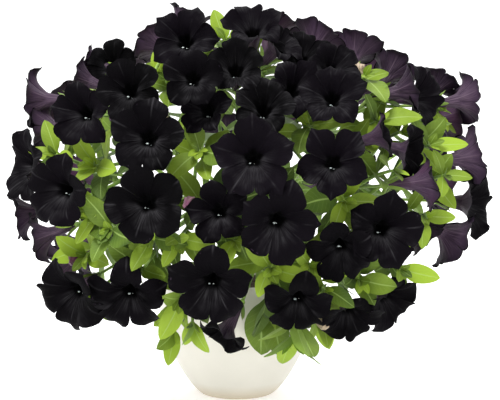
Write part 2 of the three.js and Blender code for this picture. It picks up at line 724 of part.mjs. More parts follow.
// The ends that branches lead to: blooms and wilted blooms, and then leafy tips, each the nearest first
const bloomEnds = [...blooms, ...spent].map(({ foot, axis }, index) => ({
  ends: [foot.clone().addScaledVector(axis, -FOOT_GAP)],
  axis,
  leaf: { length: BRANCH_LEAF, spread: LEAF_SPREAD },
  outerWhorl: index < FRONT_BLOOMS.length ? [] : [OUTER_WHORL],
}));
const tipEnds = LEAFY_TIPS.map(([across, toward, up, turn, tilt, length, spread = LEAF_SPREAD]) => {
  const { axis } = facing(turn, tilt);
  const ends = TIP_DEPTHS.map((depth) => vec(across, -toward, up).addScaledVector(axis, -depth));
  return { ends, axis, leaf: { length, spread }, isTip: true };
});
for (const group of [bloomEnds, tipEnds]) {
  const far = ({ ends }) => ends[0].distanceTo(shootAt(shoots, ends[0]).stem.v2);
  for (const { ends, axis, leaf, isTip, outerWhorl } of group.sort((a, b) => far(a) - far(b))) {
    const shoot = shootAt(shoots, ends[0]);
    const fork = forkFor(shoot, ends[0], axis);
    const lines = ends.flatMap((end) => BENDS.map((bend) => branchLine(shoot, fork.place, end, axis, bend)));
    const inTheWay = [...obstacles, ...shoots.flatMap((other) => (other === shoot ? [] : other.ways))];
    const way = (each) => keep(tube(each, TWIG_RADIUS + 2 * GAP, 3, 4));
    const line = lines.find((each) => isClear(way(each), inTheWay));
    if (!line) throw new Error(`no way for the branch to ${ends[0].toArray().map(Math.round)}`);
    const innerWhorl = line.v0.distanceTo(line.v2) > LONG_BRANCH ? [INNER_WHORL] : [];
    const whorls = isTip ? TIP_WHORLS : [...innerWhorl, ...outerWhorl];
    const twig = { shoot, line, leaf, isTip, stations: stationsOf(line, whorls) };
    const forks = TWIG_FORKS.map((share) => ({ place: onTwig(twig, share) }));
    shoot.forks = [...shoot.forks.filter((each) => each.onStem || each !== fork), ...(isTip ? [] : forks)];
    shoot.twigs.push(twig);
    shoot.ways.push(way(line));
  }
}

// A leaf stays where it has room, the leafy tips first, and only theirs may grow by a later try
const stems = shoots.map(({ stem }) => tube(stem, STEM_RADIUS, STEM_SIDES, STEM_STEPS));
const twigs = shoots.flatMap((shoot) => shoot.twigs);
twigs.sort((a, b) => Number(b.isTip ?? false) - Number(a.isTip ?? false));
const taken = [
  ...obstacles,
  ...shoots.map((shoot, k) => ({ ...keep(stems[k]), shoot })),
  ...twigs.map((twig) => ({ ...keep(twigSolid(twig)), shoot: twig.shoot })),
];
const draw = draws(LEAF_SEED);

function hasRoom(twig, station, side, leaf) {
  if (!isClear(keep(leafSolid(leaf, LEAF_ROOM)), taken)) return false;
  const alone = [];
  alone[station] = [];
  alone[station][side] = leaf;
  const others = taken.filter(({ shoot }) => shoot !== twig.shoot);
  return isClear(keep(twigSolid({ ...twig, leaves: alone })), others);
}

for (const twig of twigs) {
  const frames = framesOf(twig.line, twig.stations);
  twig.leaves = twig.stations.map(({ sections }, station) => {
    if (!sections) return [];
    return leavesOf(frames[station], twig.leaf, sections, draw).map((tries, side) => {
      const leaf = tries.slice(0, twig.isTip ? tries.length : 1).find((each) => hasRoom(twig, station, side, each));
      if (leaf) taken.push({ ...keep(leafSolid(leaf)), shoot: twig.shoot });
      return leaf;
    });
  });
}

// A leafy tip with too few leaves doesn't grow
for (const shoot of shoots) {
  const leafCount = (twig) => twig.leaves.flat().filter(Boolean).length;
  shoot.twigs = shoot.twigs.filter((twig) => !twig.isTip || leafCount(twig) >= FEWEST_LEAVES);
}

// Blooms that press into each other hold together as one body
function pressedTogether(kept) {
  const group = kept.map((_, k) => k);
  const head = (k) => (group[k] === k ? k : head(group[k]));
  kept.forEach((a, i) => {
    kept.slice(i + 1).forEach((b, j) => {
      if (!isClear(a, [b])) group[head(i + 1 + j)] = head(i);
    });
  });
  return kept.map((_, k) => kept.map((__, j) => j).filter((j) => head(j) === k)).filter((members) => members.length);
}

// Bodies grown or pressed together as one, its outer surface only, so that it closes no pocket in
function joined(bodies) {
  const shells = wasm.Manifold.union(bodies).decompose();
  return shells.reduce((largest, shell) => (shell.volume() > largest.volume() ? shell : largest));
}

addNode('pot', pot.body, 0xe8e4da, 0.5);
addNode('compost', compost.body, 0x2c2018, 1);
shoots.forEach((shoot, k) => {
  addNode(`shoot_${k + 1}`, joined([stems[k], ...shoot.twigs.map(twigSolid)]), 0x86b53a, 0.6);
});
for (const members of pressedTogether(bloomBodies)) {
  const name = members.map((k) => String(k + 1).padStart(2, '0')).join('_');
  addNode(`bloom_${name}`, joined(members.map((k) => bloomBodies[k].body)), 0x1d1620, 0.8);
}
spent.forEach(({ body }, k) => addNode(`spent_bloom_${k + 1}`, body, 0x9a6f72, 0.9));

export default root;
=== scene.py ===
# A potted petunia: a cream bowl pot full of compost, leafy shoots, and a dome of near-black trumpet blooms.
# Millimetres until a piece is made, +Z up. The viewer stands at -Y, so +X is to the right.

import math

import bpy
import numpy as np
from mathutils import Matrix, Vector
from mathutils.kdtree import KDTree


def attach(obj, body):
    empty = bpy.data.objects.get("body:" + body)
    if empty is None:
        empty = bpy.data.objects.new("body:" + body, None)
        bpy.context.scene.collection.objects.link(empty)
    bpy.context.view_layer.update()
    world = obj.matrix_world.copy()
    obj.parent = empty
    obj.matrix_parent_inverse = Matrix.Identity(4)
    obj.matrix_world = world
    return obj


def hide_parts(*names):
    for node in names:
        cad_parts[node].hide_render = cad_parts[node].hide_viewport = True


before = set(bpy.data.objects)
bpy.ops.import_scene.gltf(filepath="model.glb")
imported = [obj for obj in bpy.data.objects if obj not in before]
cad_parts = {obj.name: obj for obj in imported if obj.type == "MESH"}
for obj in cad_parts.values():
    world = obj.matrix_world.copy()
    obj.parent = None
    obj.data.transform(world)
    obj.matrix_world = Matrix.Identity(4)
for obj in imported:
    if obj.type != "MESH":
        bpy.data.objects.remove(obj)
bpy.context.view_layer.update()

MM = 0.001

# Camera: a long lens, a little above the plant
CAMERA_TARGET = Vector((9.75, 0, 146.5))
CAMERA_ELEVATION = 8
CAMERA_DISTANCE = 1600
CAMERA_LENS = 153.6
CAMERA_SENSOR = 36
CAMERA_CLIP = (0.05, 60)

# Studio, in metres and watts. A light is its name, place, size and power.
LIGHTS = (("key", (-0.6, -1.2, 2.2), 0.9, 62), ("back", (0.3, 1.3, 1.5), 1.0, 14))
LIGHT_TARGET = Vector((0, 0, 0.15))
WORLD_LIGHT = 1.0
FLOOR_HALF = 12
FLOOR_GLOW = 0.4

# Pot and compost
POT_RIM_RADIUS = 60
POT_HEIGHT = 90
POT_FOOT_RADIUS = 27
POT_WALL = 4
POT_FULL_HEIGHT = 83
POT_FOOT_ROUND = 0.8
POT_SIDE_ROUND = 1.9
POT_FOOT_EDGE = ((1, 0), (0.3, 0.08))
POT_EDGE = 1.4
POT_SIDES = 128
POT_LEVELS = np.linspace(0.004, 1, 40) ** 1.4
POT_INSIDE_STEPS = 16
POT_EDGE_STEPS = 6
COMPOST_TOP = 80
COMPOST_CROWN = 2
COMPOST_CLEARANCE = 1
COMPOST_FLOOR_GAP = 0.3
COMPOST_SIDES = 72
COMPOST_LEVELS = 8
COMPOST_RINGS = np.linspace(0.98, 0.04, 22)
COMPOST_SEED = 11
LUMP_RISE = (-0.9, 0.7)
LUMP_REACH = (0.985, 1.015)
CRUMBS = 260
CRUMB_SPREAD = 0.9
CRUMB_SIZE = (0.7, 2)
CRUMB_WIDTH = (0.7, 1.2)
CRUMB_HEIGHT = (0.4, 0.7)

# Shoots: one in each of SHOOTS equal wedges round the pot's axis
SHOOTS = 6
WEDGE_TURN = 2 * math.pi / SHOOTS
WEDGE_START = 47
WEDGE_MARGIN = 2.5
WEDGE_TIP = 10
STEM_RADIUS = 3
STEM_NARROWING = 0.8
STEM_STEPS = 14
STEM_SIDES = 16
STEM_CIRCLE = 24
STEM_TOP_CIRCLE = 34
STEM_TOP = 150
STEM_BEND_HEIGHT = 120
STEM_DEPTH = 28
STEM_FORKS = (0.42, 0.5, 0.58, 0.66, 0.74, 0.82, 0.9, 0.98)
TWIG_RADIUS = 1.7
TWIG_BEND = 0.4
TWIG_FORKS = (0.47, 0.54, 0.76, 0.84)
TWIG_THICK = (1.5, 1.05)
TWIG_POINT = 0.4
TWIG_SIDES = 9
TWIG_ROUND = 4
TWIG_ROUND_STEPS = (0, 0.33, 0.67, 1)
TANGENT_STEP = 0.0001
SAME_PLACE = 1e-6
ASLANT = (0.3, 0.5, 0.8)
FORK_BACK = 24
FORK_STEP = 16
FORK_PULL = 0.8
FOOT_GAP = 0.6
TIP_DEPTHS = (0, 8, 16, 24)
FOUND = 0.06

# Ways to bend a branch: back along its end's axis as a share of its run, sideways, and up
BENDS = (
    (0.45, 0, 0),
    (0.45, 0, 14),
    (0.45, 0, -14),
    (0.7, 0, 0),
    (0.25, 0, 0),
    (0.45, 14, 0),
    (0.45, -14, 0),
    (0.7, 12, 12),
    (0.7, -12, -12),
    (0.3, 16, -10),
    (0.3, -16, 10),
    (0.3, 10, 22),
    (0.3, -10, -22),
    (0.6, 24, 0),
    (0.6, -24, 0),
    (0.5, 0, 30),
    (0.5, 0, -30),
    (0.9, 0, 0),
    (0.15, 0, 0),
    (0.2, 26, -14),
    (0.2, -26, 14),
)

# Blooms: a narrow tube that flares into five joined lobes. Sizes in pairs: at no width, and per width.
LOBES = 5
LOBE_TURN = 2 * math.pi / LOBES
TUBE_LENGTH = (14, 0.19)
LIMB_HEIGHT = (6, 0.13)
THROAT_RADIUS = (2, 0.075)
TUBE_END_RADIUS = 1.8
TUBE_SWELL = 1.25
TUBE_GROOVE = 0.05
PIT_SHARE = 0.5
PIT_RADIUS = 0.9
PIT_NARROWING = 1.3
THROAT_PINCH = 0.14
NOTCH_SHARE = 0.8
STAR_NOTCH = 0.25
NOTCH_DEEPER = 0.1
LOBE_FULLNESS = 0.42
LOBE_POINT = 0.04
LOBE_POINT_TURN = 0.08
LOBE_REACH = (0.9, 1.06)
POINTED = (0.5, 2.2)
FLARE_ROUND = 1.8
CURL = (0.02, 0.3)
STAR_CURL = 0.3
WAVE = (0.02, 0.06)
WAVES = 3
PETAL_THICK = 0.9
PETAL_CREASE = 1.7
RIM_CREASE = 0.3
PETAL_RIB = 0.45
PETAL_RIB_TURN = 0.14
PETAL_RUFFLE = 0.035
RUFFLES = 11
RIM_RAGGED = 0.016
RIM_RAGS = ((7, 1), (13, 2))
FOLDS = 6
FOLD_SPANS = ((0, 2 * math.pi), (0.12, 0.3), (-2.6, 2.6))
LOBE_STEPS = 14
LIMB_SHARES = np.linspace(0, 1, 17)
TUBE_DEPTHS = np.linspace(0.1, 1, 8)
PIT_DEPTHS = np.linspace(PIT_SHARE, 0.06, 5)

# Anthers: how far down and aside as shares of the throat's radius, how deep, and the span of their sizes
ANTHERS = ((0.52, -0.3, 3.2, (0.65, 1.2)), (0.6, 0.08, 3.6, (0.25, 0.6)))
ANTHER_SHAPE = (0.6, 1, 0.8)
ANTHER_DOWN = (-0.05, 0.05)
ANTHER_ASIDE = (-0.1, 0.1)
ANTHER_SEED = 77
LEVEL_THROAT = 0.2

# Leaves: they stand in whorls of three on a twig
LEAF_FOLD = 0.22
LEAF_DROOP = 0.16
LEAF_SPREAD = 56
BRANCH_LEAF = 35
LEAF_WIDTH = (0.46, 0.58)
LEAF_SIZE = (0.8, 1.15)
LEAF_TRIES = ((1, 0), (0.85, -14), (0.7, 12))
LEAF_TURN = 12
LEAF_TILT = 0.2
LEAF_LIFT = 0.35
LEAF_SEED = 6
LEAF_DETAIL_SEED = 500
LEAF_THICK = 0.7
LEAF_STALK = 0.1
LEAF_STALK_WIDTH = 0.035
LEAF_END_WIDTH = 0.02
LEAF_BASE = 0.88
LEAF_FULLNESS = 0.64
LEAF_BROAD = 1.04
LEAF_SLIMMER = 0.22
LEAF_RIPPLE = 0.028
LEAF_WAVES = 11
LEAF_SOFTNESS = 1.2
LEAF_FOLD_SINK = 1.1
LEAF_EDGE_THINNER = 0.9
LEAF_TIP_THINNER = 0.8
LEAF_GRID = (15, 9)
LEAF_DRAWS = ((0.5, 1.6), (0, 6.28), (-0.05, 0.05), (-0.22, 0.22), (0, 1))
WHORL_STEP = 3.5
WHORL_TWIST = 60
TIP_WHORLS = ((0.7, 1), (1, 2))
INNER_WHORL = (0.62, 1)
OUTER_WHORL = (1, 1)
LONG_BRANCH = 70

# Calyxes and the youngest leaves
CALYX_SHAPE = (2.3, 2.3, 2.6)
CALYX_RISE = 0.6
SEPALS = 5
SEPAL_LENGTH = (11, 17)
SEPAL_WIDTH = 0.25
SEPAL_SPREAD = 20
SEPAL_TURN = (-6, 10)
SEPAL_ROOT = (0.4, 1.2)
SEPAL_FORM = (0.6, 0.6, (9, 5))
YOUNG_LEAVES = 4
YOUNG_LEAF = (0.3, 0.5)
YOUNG_SPREAD = (14, 40)
YOUNG_TURN = 137.5
YOUNG_THICK = 0.5
YOUNG_DEPTH = 1.5

# Blooms on the viewer's side: across, toward the viewer, up, width, turned right, tilted up, roll, and how
# deep a star's notches are cut, from 0 to 1
FRONT_BLOOMS = (
    (-59, 140, 208, 52, -6, 12, 10),
    (-60, 148, 165, 57, -4, 3, 36),
    (12, 158, 197, 56, 0, 8, 20),
    (28, 157, 155, 57, 3, -10, 0),
    (-11, 145, 159, 46, -8, 2, 30, 0.4),
    (-16, 150, 112, 59, -4, -14, 14, 0.3),
    (43, 134, 97, 51, 2, -28, 8, 0.6),
    (-6, 102, 70, 40, -48, -50, 0, 0.5),
    (66, 146, 192, 50, 0, 8, 50, 0.2),
    (66, 131, 234, 46, -5, 25, 22),
    (100, 130, 145, 55, 8, 0, 4),
    (72, 134, 134, 46, -5, -22, 30, 0.3),
    (-29, 132, 248, 42, 0, 14, 12),
    (-72, 128, 239, 46, -5, 16, 40),
    (-35, 100, 271, 46, -6, 22, 0),
    (-104, 108, 222, 46, -24, 8, 26),
    (-119, 108, 169, 54, -30, 0, 6),
    (-74, 116, 98, 57, -6, -22, 18, 0.8),
    (-112, 104, 97, 58, -36, -18, 44, 0.3),
    (0, 118, 252, 42, 0, 40, 20),
    (12, 82, 276, 45, 0, 52, 30),
    (27, 88, 265, 36, 50, 45, 10),
    (56, 45, 264, 46, 150, 50, 0, 0.3),
    (85, 32, 256, 42, 172, 45, 24),
    (111, 22, 241, 42, 140, 35, 50),
    (116, 66, 234, 40, 94, 12, 12),
    (128, 52, 228, 44, 55, 8, 36),
    (163, 20, 223, 43, 112, 5, 4, 0.2),
    (162, 44, 183, 46, 115, 3, 22, 0.2),
    (167, 34, 149, 54, 62, 0, 48),
    (150, 60, 131, 50, 100, -35, 10),
    (128, 70, 137, 42, 110, -35, 34, 0.2),
    (126, 96, 172, 42, 104, 2, 16, 0.2),
    (96, 106, 205, 34, 85, 15, 0),
    (117, 84, 194, 38, 60, -10, 28),
    (106, 84, 89, 50, 42, -25, 40, 0.3),
    (79, 100, 82, 46, 15, -40, 12, 0.3),
    (19, 134, 226, 42, 0, 30, 6),
    (39, 112, 238, 42, 20, 30, 46),
    (-19, 122, 225, 38, -20, 20, 20),
    (-139, 36, 225, 46, -97, 0, 32, 0.2),
    (-107, 42, 239, 34, -100, 20, 8),
    (-100, 26, 249, 30, -100, 8, 30),
    (-90, 30, 248, 38, -10, 30, 14),
    (-53, 58, 265, 40, -130, 30, 42),
    (-39, 80, 284, 26, 110, 60, 0, 0.3),
    (-145, 56, 178, 52, -60, 5, 24),
    (-149, 46, 144, 42, -95, -15, 38),
    (-135, 60, 130, 40, -95, -20, 2, 0.2),
    (146, 4, 229, 36, 150, 40, 26),
    (151, 2, 208, 42, 110, 0, 12),
    (-133, 40, 205, 36, -110, 0, 48),
    (66, 92, 250, 40, 20, 35, 34),
    (46, 78, 257, 40, 20, 45, 6),
)

# The dome that the blooms fill. Pairs take the places on a golden spiral that the table leaves empty.
DOME_MIDDLE = (8, 0, 155)
DOME_REACH = (160, 150, 112)
FILL_PLACES = 140
FILL_DEPTH = 1.5
FILL_INSET = (0.94, 1)
FILL_WIDTH = (44, 54)
FILL_TILT = 65
FILL_WANDER = ((-9, 9), (-8, 8))
FILL_ROLL = (0, 72)
PAIR_APART = 34
PAIR_LEAN = (0, 180)
PAIR_TURN = 0.4
FILL_ROOM = 62
FILL_FROM = 10
FILL_SEED = 42
GOLDEN_TURN = 137.508

# Leafy shoot tips between the blooms: across, toward the viewer, up, turned right, tilted up, leaf length,
# and how far the leaves spread where they hang
LEAFY_TIPS = (
    (-8, 48, 270, -10, 40, 30),
    (-50, 82, 244, -20, 35, 28),
    (-99, 100, 185, -25, 10, 30),
    (-99, 108, 151, -20, 0, 32),
    (-88, 114, 141, -20, -5, 30),
    (-59, 128, 137, -15, -5, 30),
    (-107, 94, 120, -25, -10, 32),
    (-40, 134, 138, -10, -5, 32),
    (-25, 128, 199, -5, 15, 30),
    (-1, 140, 138, 0, -5, 28),
    (92, 62, 245, 25, 35, 34),
    (51, 116, 215, 10, 25, 26),
    (90, 108, 204, 20, 20, 30),
    (111, 104, 182, 20, 10, 32),
    (138, 72, 196, 30, 15, 32),
    (75, 128, 164, 15, 5, 30),
    (24, 134, 117, 5, -10, 32),
    (51, 130, 119, 10, -10, 28),
    (62, 118, 100, 10, -20, 28),
    (-39, 114, 92, -10, -20, 32),
    (-44, 89, 64, -9, -45, 29, 26),
    (-31, 100, 72, 0, -62, 28, 27),
    (6, 95, 79, -16, -67, 44, 31),
    (23, 84, 78, -9, -61, 45, 25),
    (40, 108, 63, -32, -83, 36, 40),
    (59, 78, 76, 19, -56, 34, 34),
    (80, 78, 79, -17, -40, 48, 53),
    (116, 94, 110, 25, -15, 28),
    (143, 70, 116, 30, -10, 26),
    (-136, 40, 205, -35, 20, 24),
    (-130, 68, 189, -30, 15, 26),
    (87, 110, 105, 20, -15, 28),
    (149, 70, 174, 30, 10, 26),
    (149, 24, 217, 40, 25, 24),
    (100, 80, 214, 25, 20, 30),
    (118, 74, 206, 35, 10, 28),
    (134, 82, 146, 35, 0, 26),
    (-66, 112, 112, -15, -20, 28),
    (-98, 88, 92, -25, -30, 26),
)

# Wilted blooms: across, toward the viewer, up, length, turned right, tilted up, width
SPENT_SEED = 301
SPENT_SIDES = 6
SPENT_GRID = (26, 48)
SPENT_RINGS = ((-1, 0.3), (-0.55, 0.36), (-0.2, 1), (0, 0.75))
SPENT_CREASE = (0.75, 1.2)
SPENT_WAVES = ((0.1, 9, 5), (0.07, 17, 9))
SPENT_RAGGED = 0.05
SPENT_POINT = 0.12
SPENT_BLOOMS = (
    (-33, 136, 164, 22, -20, 10, 10),
    (-51, 112, 224, 20, -10, 40, 8),
    (88, 60, 252, 18, 10, 50, 9),
    (-116, 92, 116, 24, -40, -10, 12),
    (80, 120, 137, 22, 10, 10, 9),
    (62, 110, 72, 24, 20, -50, 8),
)

# Colours, as linear light, and sheens as red, green, blue and one
CREAM = (0.77, 0.74, 0.665)
# Painted shade: the pot's cream turned darker and warmer towards the foot
FOOT_PAINTED_SHADE = (0.64, 0.56, 0.43)
COMPOST_DARK = (0.020, 0.012, 0.007)
COMPOST_LIGHT = (0.075, 0.045, 0.026)
LEAF_DEEP = (0.046, 0.104, 0.008)
LEAF_LIME = (0.345, 0.500, 0.032)
# Painted shade: the green that leaves turn to deep inside the plant's dome
LEAF_PAINTED_SHADE = (0.038, 0.085, 0.008)
LEAF_RIB = (0.430, 0.600, 0.160)
LEAF_BACK = (0.250, 0.400, 0.110)
STEM_GREEN = (0.260, 0.420, 0.070)
VELVET = (0.0011, 0.0010, 0.0012)
VELVET_PURPLE = (0.0038, 0.0026, 0.0045)
# Painted highlight: the grey on petal faces where they face up to the light
THROAT_PAINTED_HIGHLIGHT = (0.048, 0.046, 0.050)
# Painted shade: the black down a bloom's throat and tube
PAINTED_THROAT_SHADE = (0.0010, 0.0009, 0.0011)
LAVENDER = (0.018, 0.009, 0.021)
LAVENDER_PALE = (0.048, 0.026, 0.052)
MAGENTA = (0.060, 0.014, 0.050)
LAVENDER_VEIN = (0.010, 0.006, 0.012)
TUBE_GREY = (0.140, 0.095, 0.130)
VELVET_SHEEN = (0.70, 0.70, 0.74, 1)
LAVENDER_SHEEN = (0.75, 0.65, 0.85, 1)
ANTHER = (0.330, 0.420, 0.420)
ANTHER_LIGHT = (0.85, 0.9, 0.85)
FLOOR_WHITE = (0.90, 0.90, 0.90)
SPENT_COLOURS = (
    ((0.330, 0.110, 0.210), (0.420, 0.330, 0.260)),
    ((0.330, 0.230, 0.170), (0.450, 0.360, 0.250)),
    ((0.480, 0.360, 0.260), (0.560, 0.480, 0.330)),
    ((0.120, 0.020, 0.060), (0.160, 0.070, 0.090)),
    ((0.110, 0.060, 0.110), (0.150, 0.140, 0.080)),
    ((0.380, 0.290, 0.190), (0.330, 0.270, 0.150)),
)

# The height in metres of the painted shade on the pot's foot, lines on leaves and petals, the dome shares
# between which leaves turn from lit to painted shade, and how much light comes through a leaf
FOOT_SHADE_HEIGHT = 0.03
VEINS = 30
VEIN_LEAN = 0.22
PETAL_VEINS = 16
SPENT_STRIPES = 13
SPENT_DIM = 0.3
SHADE_FROM_TO = (1.02, 0.72)
LEAF_CLEAR = 0.3


def vec(x, y, z):
    return np.array([x, y, z], float)


def unit(v):
    return v / np.linalg.norm(v)


def apart(a, b):
    return np.linalg.norm(a - b)


def square_to(way, v):
    """The direction at right angles to a way that is nearest to v"""
    return unit(v - v.dot(way) * way)


def draws(seed):
    """Random numbers that come out the same every run"""
    state = seed * 7919 + 17

    def draw(low, high):
        nonlocal state
        state = state * 16807 % 2147483647
        return low + (high - low) * state / 2147483647

    return draw


# The camera and the studio


def add_object(name, data):
    made = bpy.data.objects.new(name, data)
    bpy.context.scene.collection.objects.link(made)
    return made


def aim(made, place, way):
    made.location = place
    made.rotation_mode = "QUATERNION"
    made.rotation_quaternion = way.to_track_quat("-Z", "Y")


def make_camera():
    data = bpy.data.cameras.new("camera")
    data.lens = CAMERA_LENS
    data.sensor_width = CAMERA_SENSOR
    data.clip_start, data.clip_end = CAMERA_CLIP
    rise = math.radians(CAMERA_ELEVATION)
    back = Vector((0, -math.cos(rise), math.sin(rise)))
    camera = add_object("camera", data)
    aim(camera, (CAMERA_TARGET + CAMERA_DISTANCE * back) * MM, -back)
    bpy.context.scene.camera = camera


def make_lights():
    for name, place, size, power in LIGHTS:
        data = bpy.data.lights.new(name, "AREA")
        data.shape = "DISK"
        data.size = size
        data.energy = power
        aim(add_object(name, data), place, LIGHT_TARGET - Vector(place))
    world = bpy.data.worlds.new("studio")
    world.use_nodes = True
    background = world.node_tree.nodes["Background"]
    background.inputs["Color"].default_value = (1, 1, 1, 1)
    background.inputs["Strength"].default_value = WORLD_LIGHT
    bpy.context.scene.world = world


def make_floor():
    mesh = bpy.data.meshes.new("floor")
    corners = [(x * FLOOR_HALF, y * FLOOR_HALF, 0) for x, y in ((-1, -1), (1, -1), (1, 1), (-1, 1))]
    mesh.from_pydata(corners, [], [(0, 1, 2, 3)])
    finish = {"Emission Color": (1, 1, 1, 1), "Emission Strength": FLOOR_GLOW, "Specular IOR Level": 0.1}
    mesh.materials.append(Look("floor_white", FLOOR_WHITE, 0.9, finish).material)
    add_object("floor", mesh)


# Materials


class Value:
    """A number or colour that a material's nodes work out from point to point"""

    def __init__(self, look, socket):
        self.look = look
        self.socket = socket

    def maths(self, operation, *others):
        return self.look.add("ShaderNodeMath", dict(enumerate((self, *others))), operation=operation)

    def __add__(self, other):
        return self.maths("ADD", other)

    def __sub__(self, other):
        return self.maths("SUBTRACT", other)

    def __mul__(self, other):
        return self.maths("MULTIPLY", other)

    def __pow__(self, other):
        return self.maths("POWER", other)

    def at_least(self, other):
        return self.maths("MAXIMUM", other)

    def stripes(self, many):
        """From 0 to 1 and back, over and over"""
        return (self * many).maths("SINE").maths("ABSOLUTE")

    def part_of(self, low, high, start=0, end=1):
        """How far it has come from low to high, told as a number from start to end"""
        ends = {"From Min": low, "From Max": high, "To Min": start, "To Max": end}
        return self.look.add("ShaderNodeMapRange", {"Value": self, **ends})

    def ramp(self, *stops):
        """A colour along it, through stops of (position, colour), or of (position, grey)"""
        ramp = self.look.add("ShaderNodeValToRGB", {"Fac": self})
        elements = ramp.socket.node.color_ramp.elements
        while len(elements) < len(stops):
            elements.new(0.5)
        for element, (position, colour) in zip(elements, stops):
            element.position = position
            element.color = (*(colour if isinstance(colour, tuple) else [colour] * 3), 1)
        return ramp

    def parts(self):
        """The three numbers of a place or a direction"""
        first = self.look.add("ShaderNodeSeparateXYZ", {"Vector": self})
        return [Value(self.look, output) for output in first.socket.node.outputs]


class Look:
    """A material in the making: its shader, and the nodes that feed it. finish sets inputs of the shader."""

    def __init__(self, name, colour, roughness, finish):
        self.material = bpy.data.materials.new(name)
        self.material.use_nodes = True
        self.material.diffuse_color = (*colour, 1)
        self.tree = self.material.node_tree
        self.shader = self.tree.nodes["Principled BSDF"]
        self.fill(self.shader, {"Base Color": (*colour, 1), "Roughness": roughness, **finish})

    def fill(self, node, inputs):
        """Sets a node's inputs, and links those that are given a Value"""
        for key, value in inputs.items():
            if isinstance(value, Value):
                self.tree.links.new(value.socket, node.inputs[key])
            else:
                node.inputs[key].default_value = value

    def add(self, kind, inputs, output=0, **settings):
        """The Value that a new node gives"""
        node = self.tree.nodes.new(kind)
        for key, value in settings.items():
            setattr(node, key, value)
        self.fill(node, inputs)
        return Value(self, node.outputs[output])

    def place(self):
        return self.add("ShaderNodeTexCoord", {}, "Object")

    def grain(self):
        """The three numbers that each point of a piece carries"""
        return self.add("ShaderNodeAttribute", {}, "Vector", attribute_name="grain").parts()

    def noise(self, scale, detail=3, roughness=0.5, place=None):
        inputs = {"Vector": place or self.place(), "Scale": scale, "Detail": detail, "Roughness": roughness}
        return self.add("ShaderNodeTexNoise", inputs, "Fac")

    def mix(self, share, first, second, **settings):
        """A colour on the way from the first to the second"""
        first, second = (each if isinstance(each, Value) else (*each, 1) for each in (first, second))
        return self.add("ShaderNodeMix", {0: share, 6: first, 7: second}, 2, data_type="RGBA", **settings)

    def dress(self, colour, height, strength, distance):
        """Gives the shader its colour and a bump, and returns the bumped normal"""
        normal = self.add("ShaderNodeBump", {"Height": height, "Strength": strength, "Distance": distance})
        self.fill(self.shader, {"Base Color": colour, "Normal": normal})
        return normal

    def dome_share(self):
        """How far out from the dome's middle a point is: 0 there and 1 on the dome"""
        scale = tuple(1 / (MM * reach) for reach in DOME_REACH)
        middle = tuple(-place / reach for place, reach in zip(DOME_MIDDLE, DOME_REACH))
        place = self.add("ShaderNodeMapping", {"Vector": self.place(), "Scale": scale, "Location": middle})
        return self.add("ShaderNodeVectorMath", {0: place}, "Value", operation="LENGTH")

    def petal_streaks(self, share, off, chance):
        """Uneven streaks that run out from the throat"""
        turned = off * 5 + self.noise(30, 1) * 5
        place = self.add("ShaderNodeCombineXYZ", {"X": turned, "Y": share, "Z": chance * 40})
        return self.noise(2.2, place=place).ramp((0.42, 0), (0.68, 1))


def pot_material():
    """Cream satin, with painted shade that makes it a little darker and warmer towards the foot"""
    finish = {"Specular IOR Level": 0.3, "Coat Weight": 0.04, "Coat Roughness": 0.25}
    look = Look("cream_satin", CREAM, 0.38, finish)
    # Painted shade: the cream turns darker and warmer low on the foot
    height = look.place().parts()[2].part_of(0, FOOT_SHADE_HEIGHT)
    painted_foot_shade = height.ramp((0, FOOT_PAINTED_SHADE), (0.4, CREAM), (1, CREAM))
    stain = look.noise(26, 4).ramp((0.35, 0.93), (0.7, 1))
    look.fill(look.shader, {"Roughness": look.noise(90).part_of(0, 1, 0.45, 0.58)})
    look.dress(look.mix(1, painted_foot_shade, stain, blend_type="MULTIPLY"), look.noise(420, 2), 0.06, 0.0004)
    return look.material


def compost_material():
    look = Look("compost_crumb", COMPOST_DARK, 0.95, {})
    colour = look.noise(380, 5, 0.7).ramp((0.35, COMPOST_DARK), (0.75, COMPOST_LIGHT))
    look.dress(colour, look.noise(700, 4, 0.7), 0.8, 0.0012)
    return look.material


def leaf_material(name, back):
    """Lime green with painted shade deeper inside the plant, a light midrib and side veins; lets a little
    light through
    """
    finish = {"Sheen Weight": 0.12, "Sheen Roughness": 0.45, "Specular IOR Level": 0.35}
    look = Look(name, LEAF_LIME, 0.55, finish)
    along, across, chance = look.grain()
    rib = across.part_of(0.02, 0.09, 1, 0)
    veins = (along - across * VEIN_LEAN).stripes(VEINS).part_of(0, 0.2, 1, 0)
    green = (chance * 0.75 + look.noise(60) * 0.4).ramp((0.1, LEAF_DEEP), (0.75, LEAF_LIME))
    # Painted shade: leaves deep inside the dome turn to a darker green
    green = look.mix(look.dome_share().part_of(*SHADE_FROM_TO) * 0.8, green, LEAF_PAINTED_SHADE)
    if back:
        green = look.mix(0.4, green, LEAF_BACK)
    green = look.mix(veins * 0.16, green, LEAF_RIB)
    green = look.mix(rib * 0.6, green, LEAF_RIB)
    relief = (veins + rib * 2) * (0.35 if back else -0.35)
    normal = look.dress(green, relief + look.noise(900, 2), 0.35, 0.0005)
    through = look.add("ShaderNodeBsdfTranslucent", {"Color": green, "Normal": normal})
    solid = Value(look, look.shader.outputs[0])
    surface = look.add("ShaderNodeMixShader", {0: LEAF_CLEAR, 1: solid, 2: through})
    look.fill(look.tree.nodes["Material Output"], {"Surface": surface})
    return look.material


def stem_material():
    look = Look("stem_green", STEM_GREEN, 0.6, {"Sheen Weight": 0.25, "Sheen Roughness": 0.4})
    colour = look.noise(80).ramp((0.3, LEAF_DEEP), (0.55, STEM_GREEN), (0.8, LEAF_RIB))
    look.dress(colour, look.noise(1100, 2), 0.4, 0.0004)
    return look.material


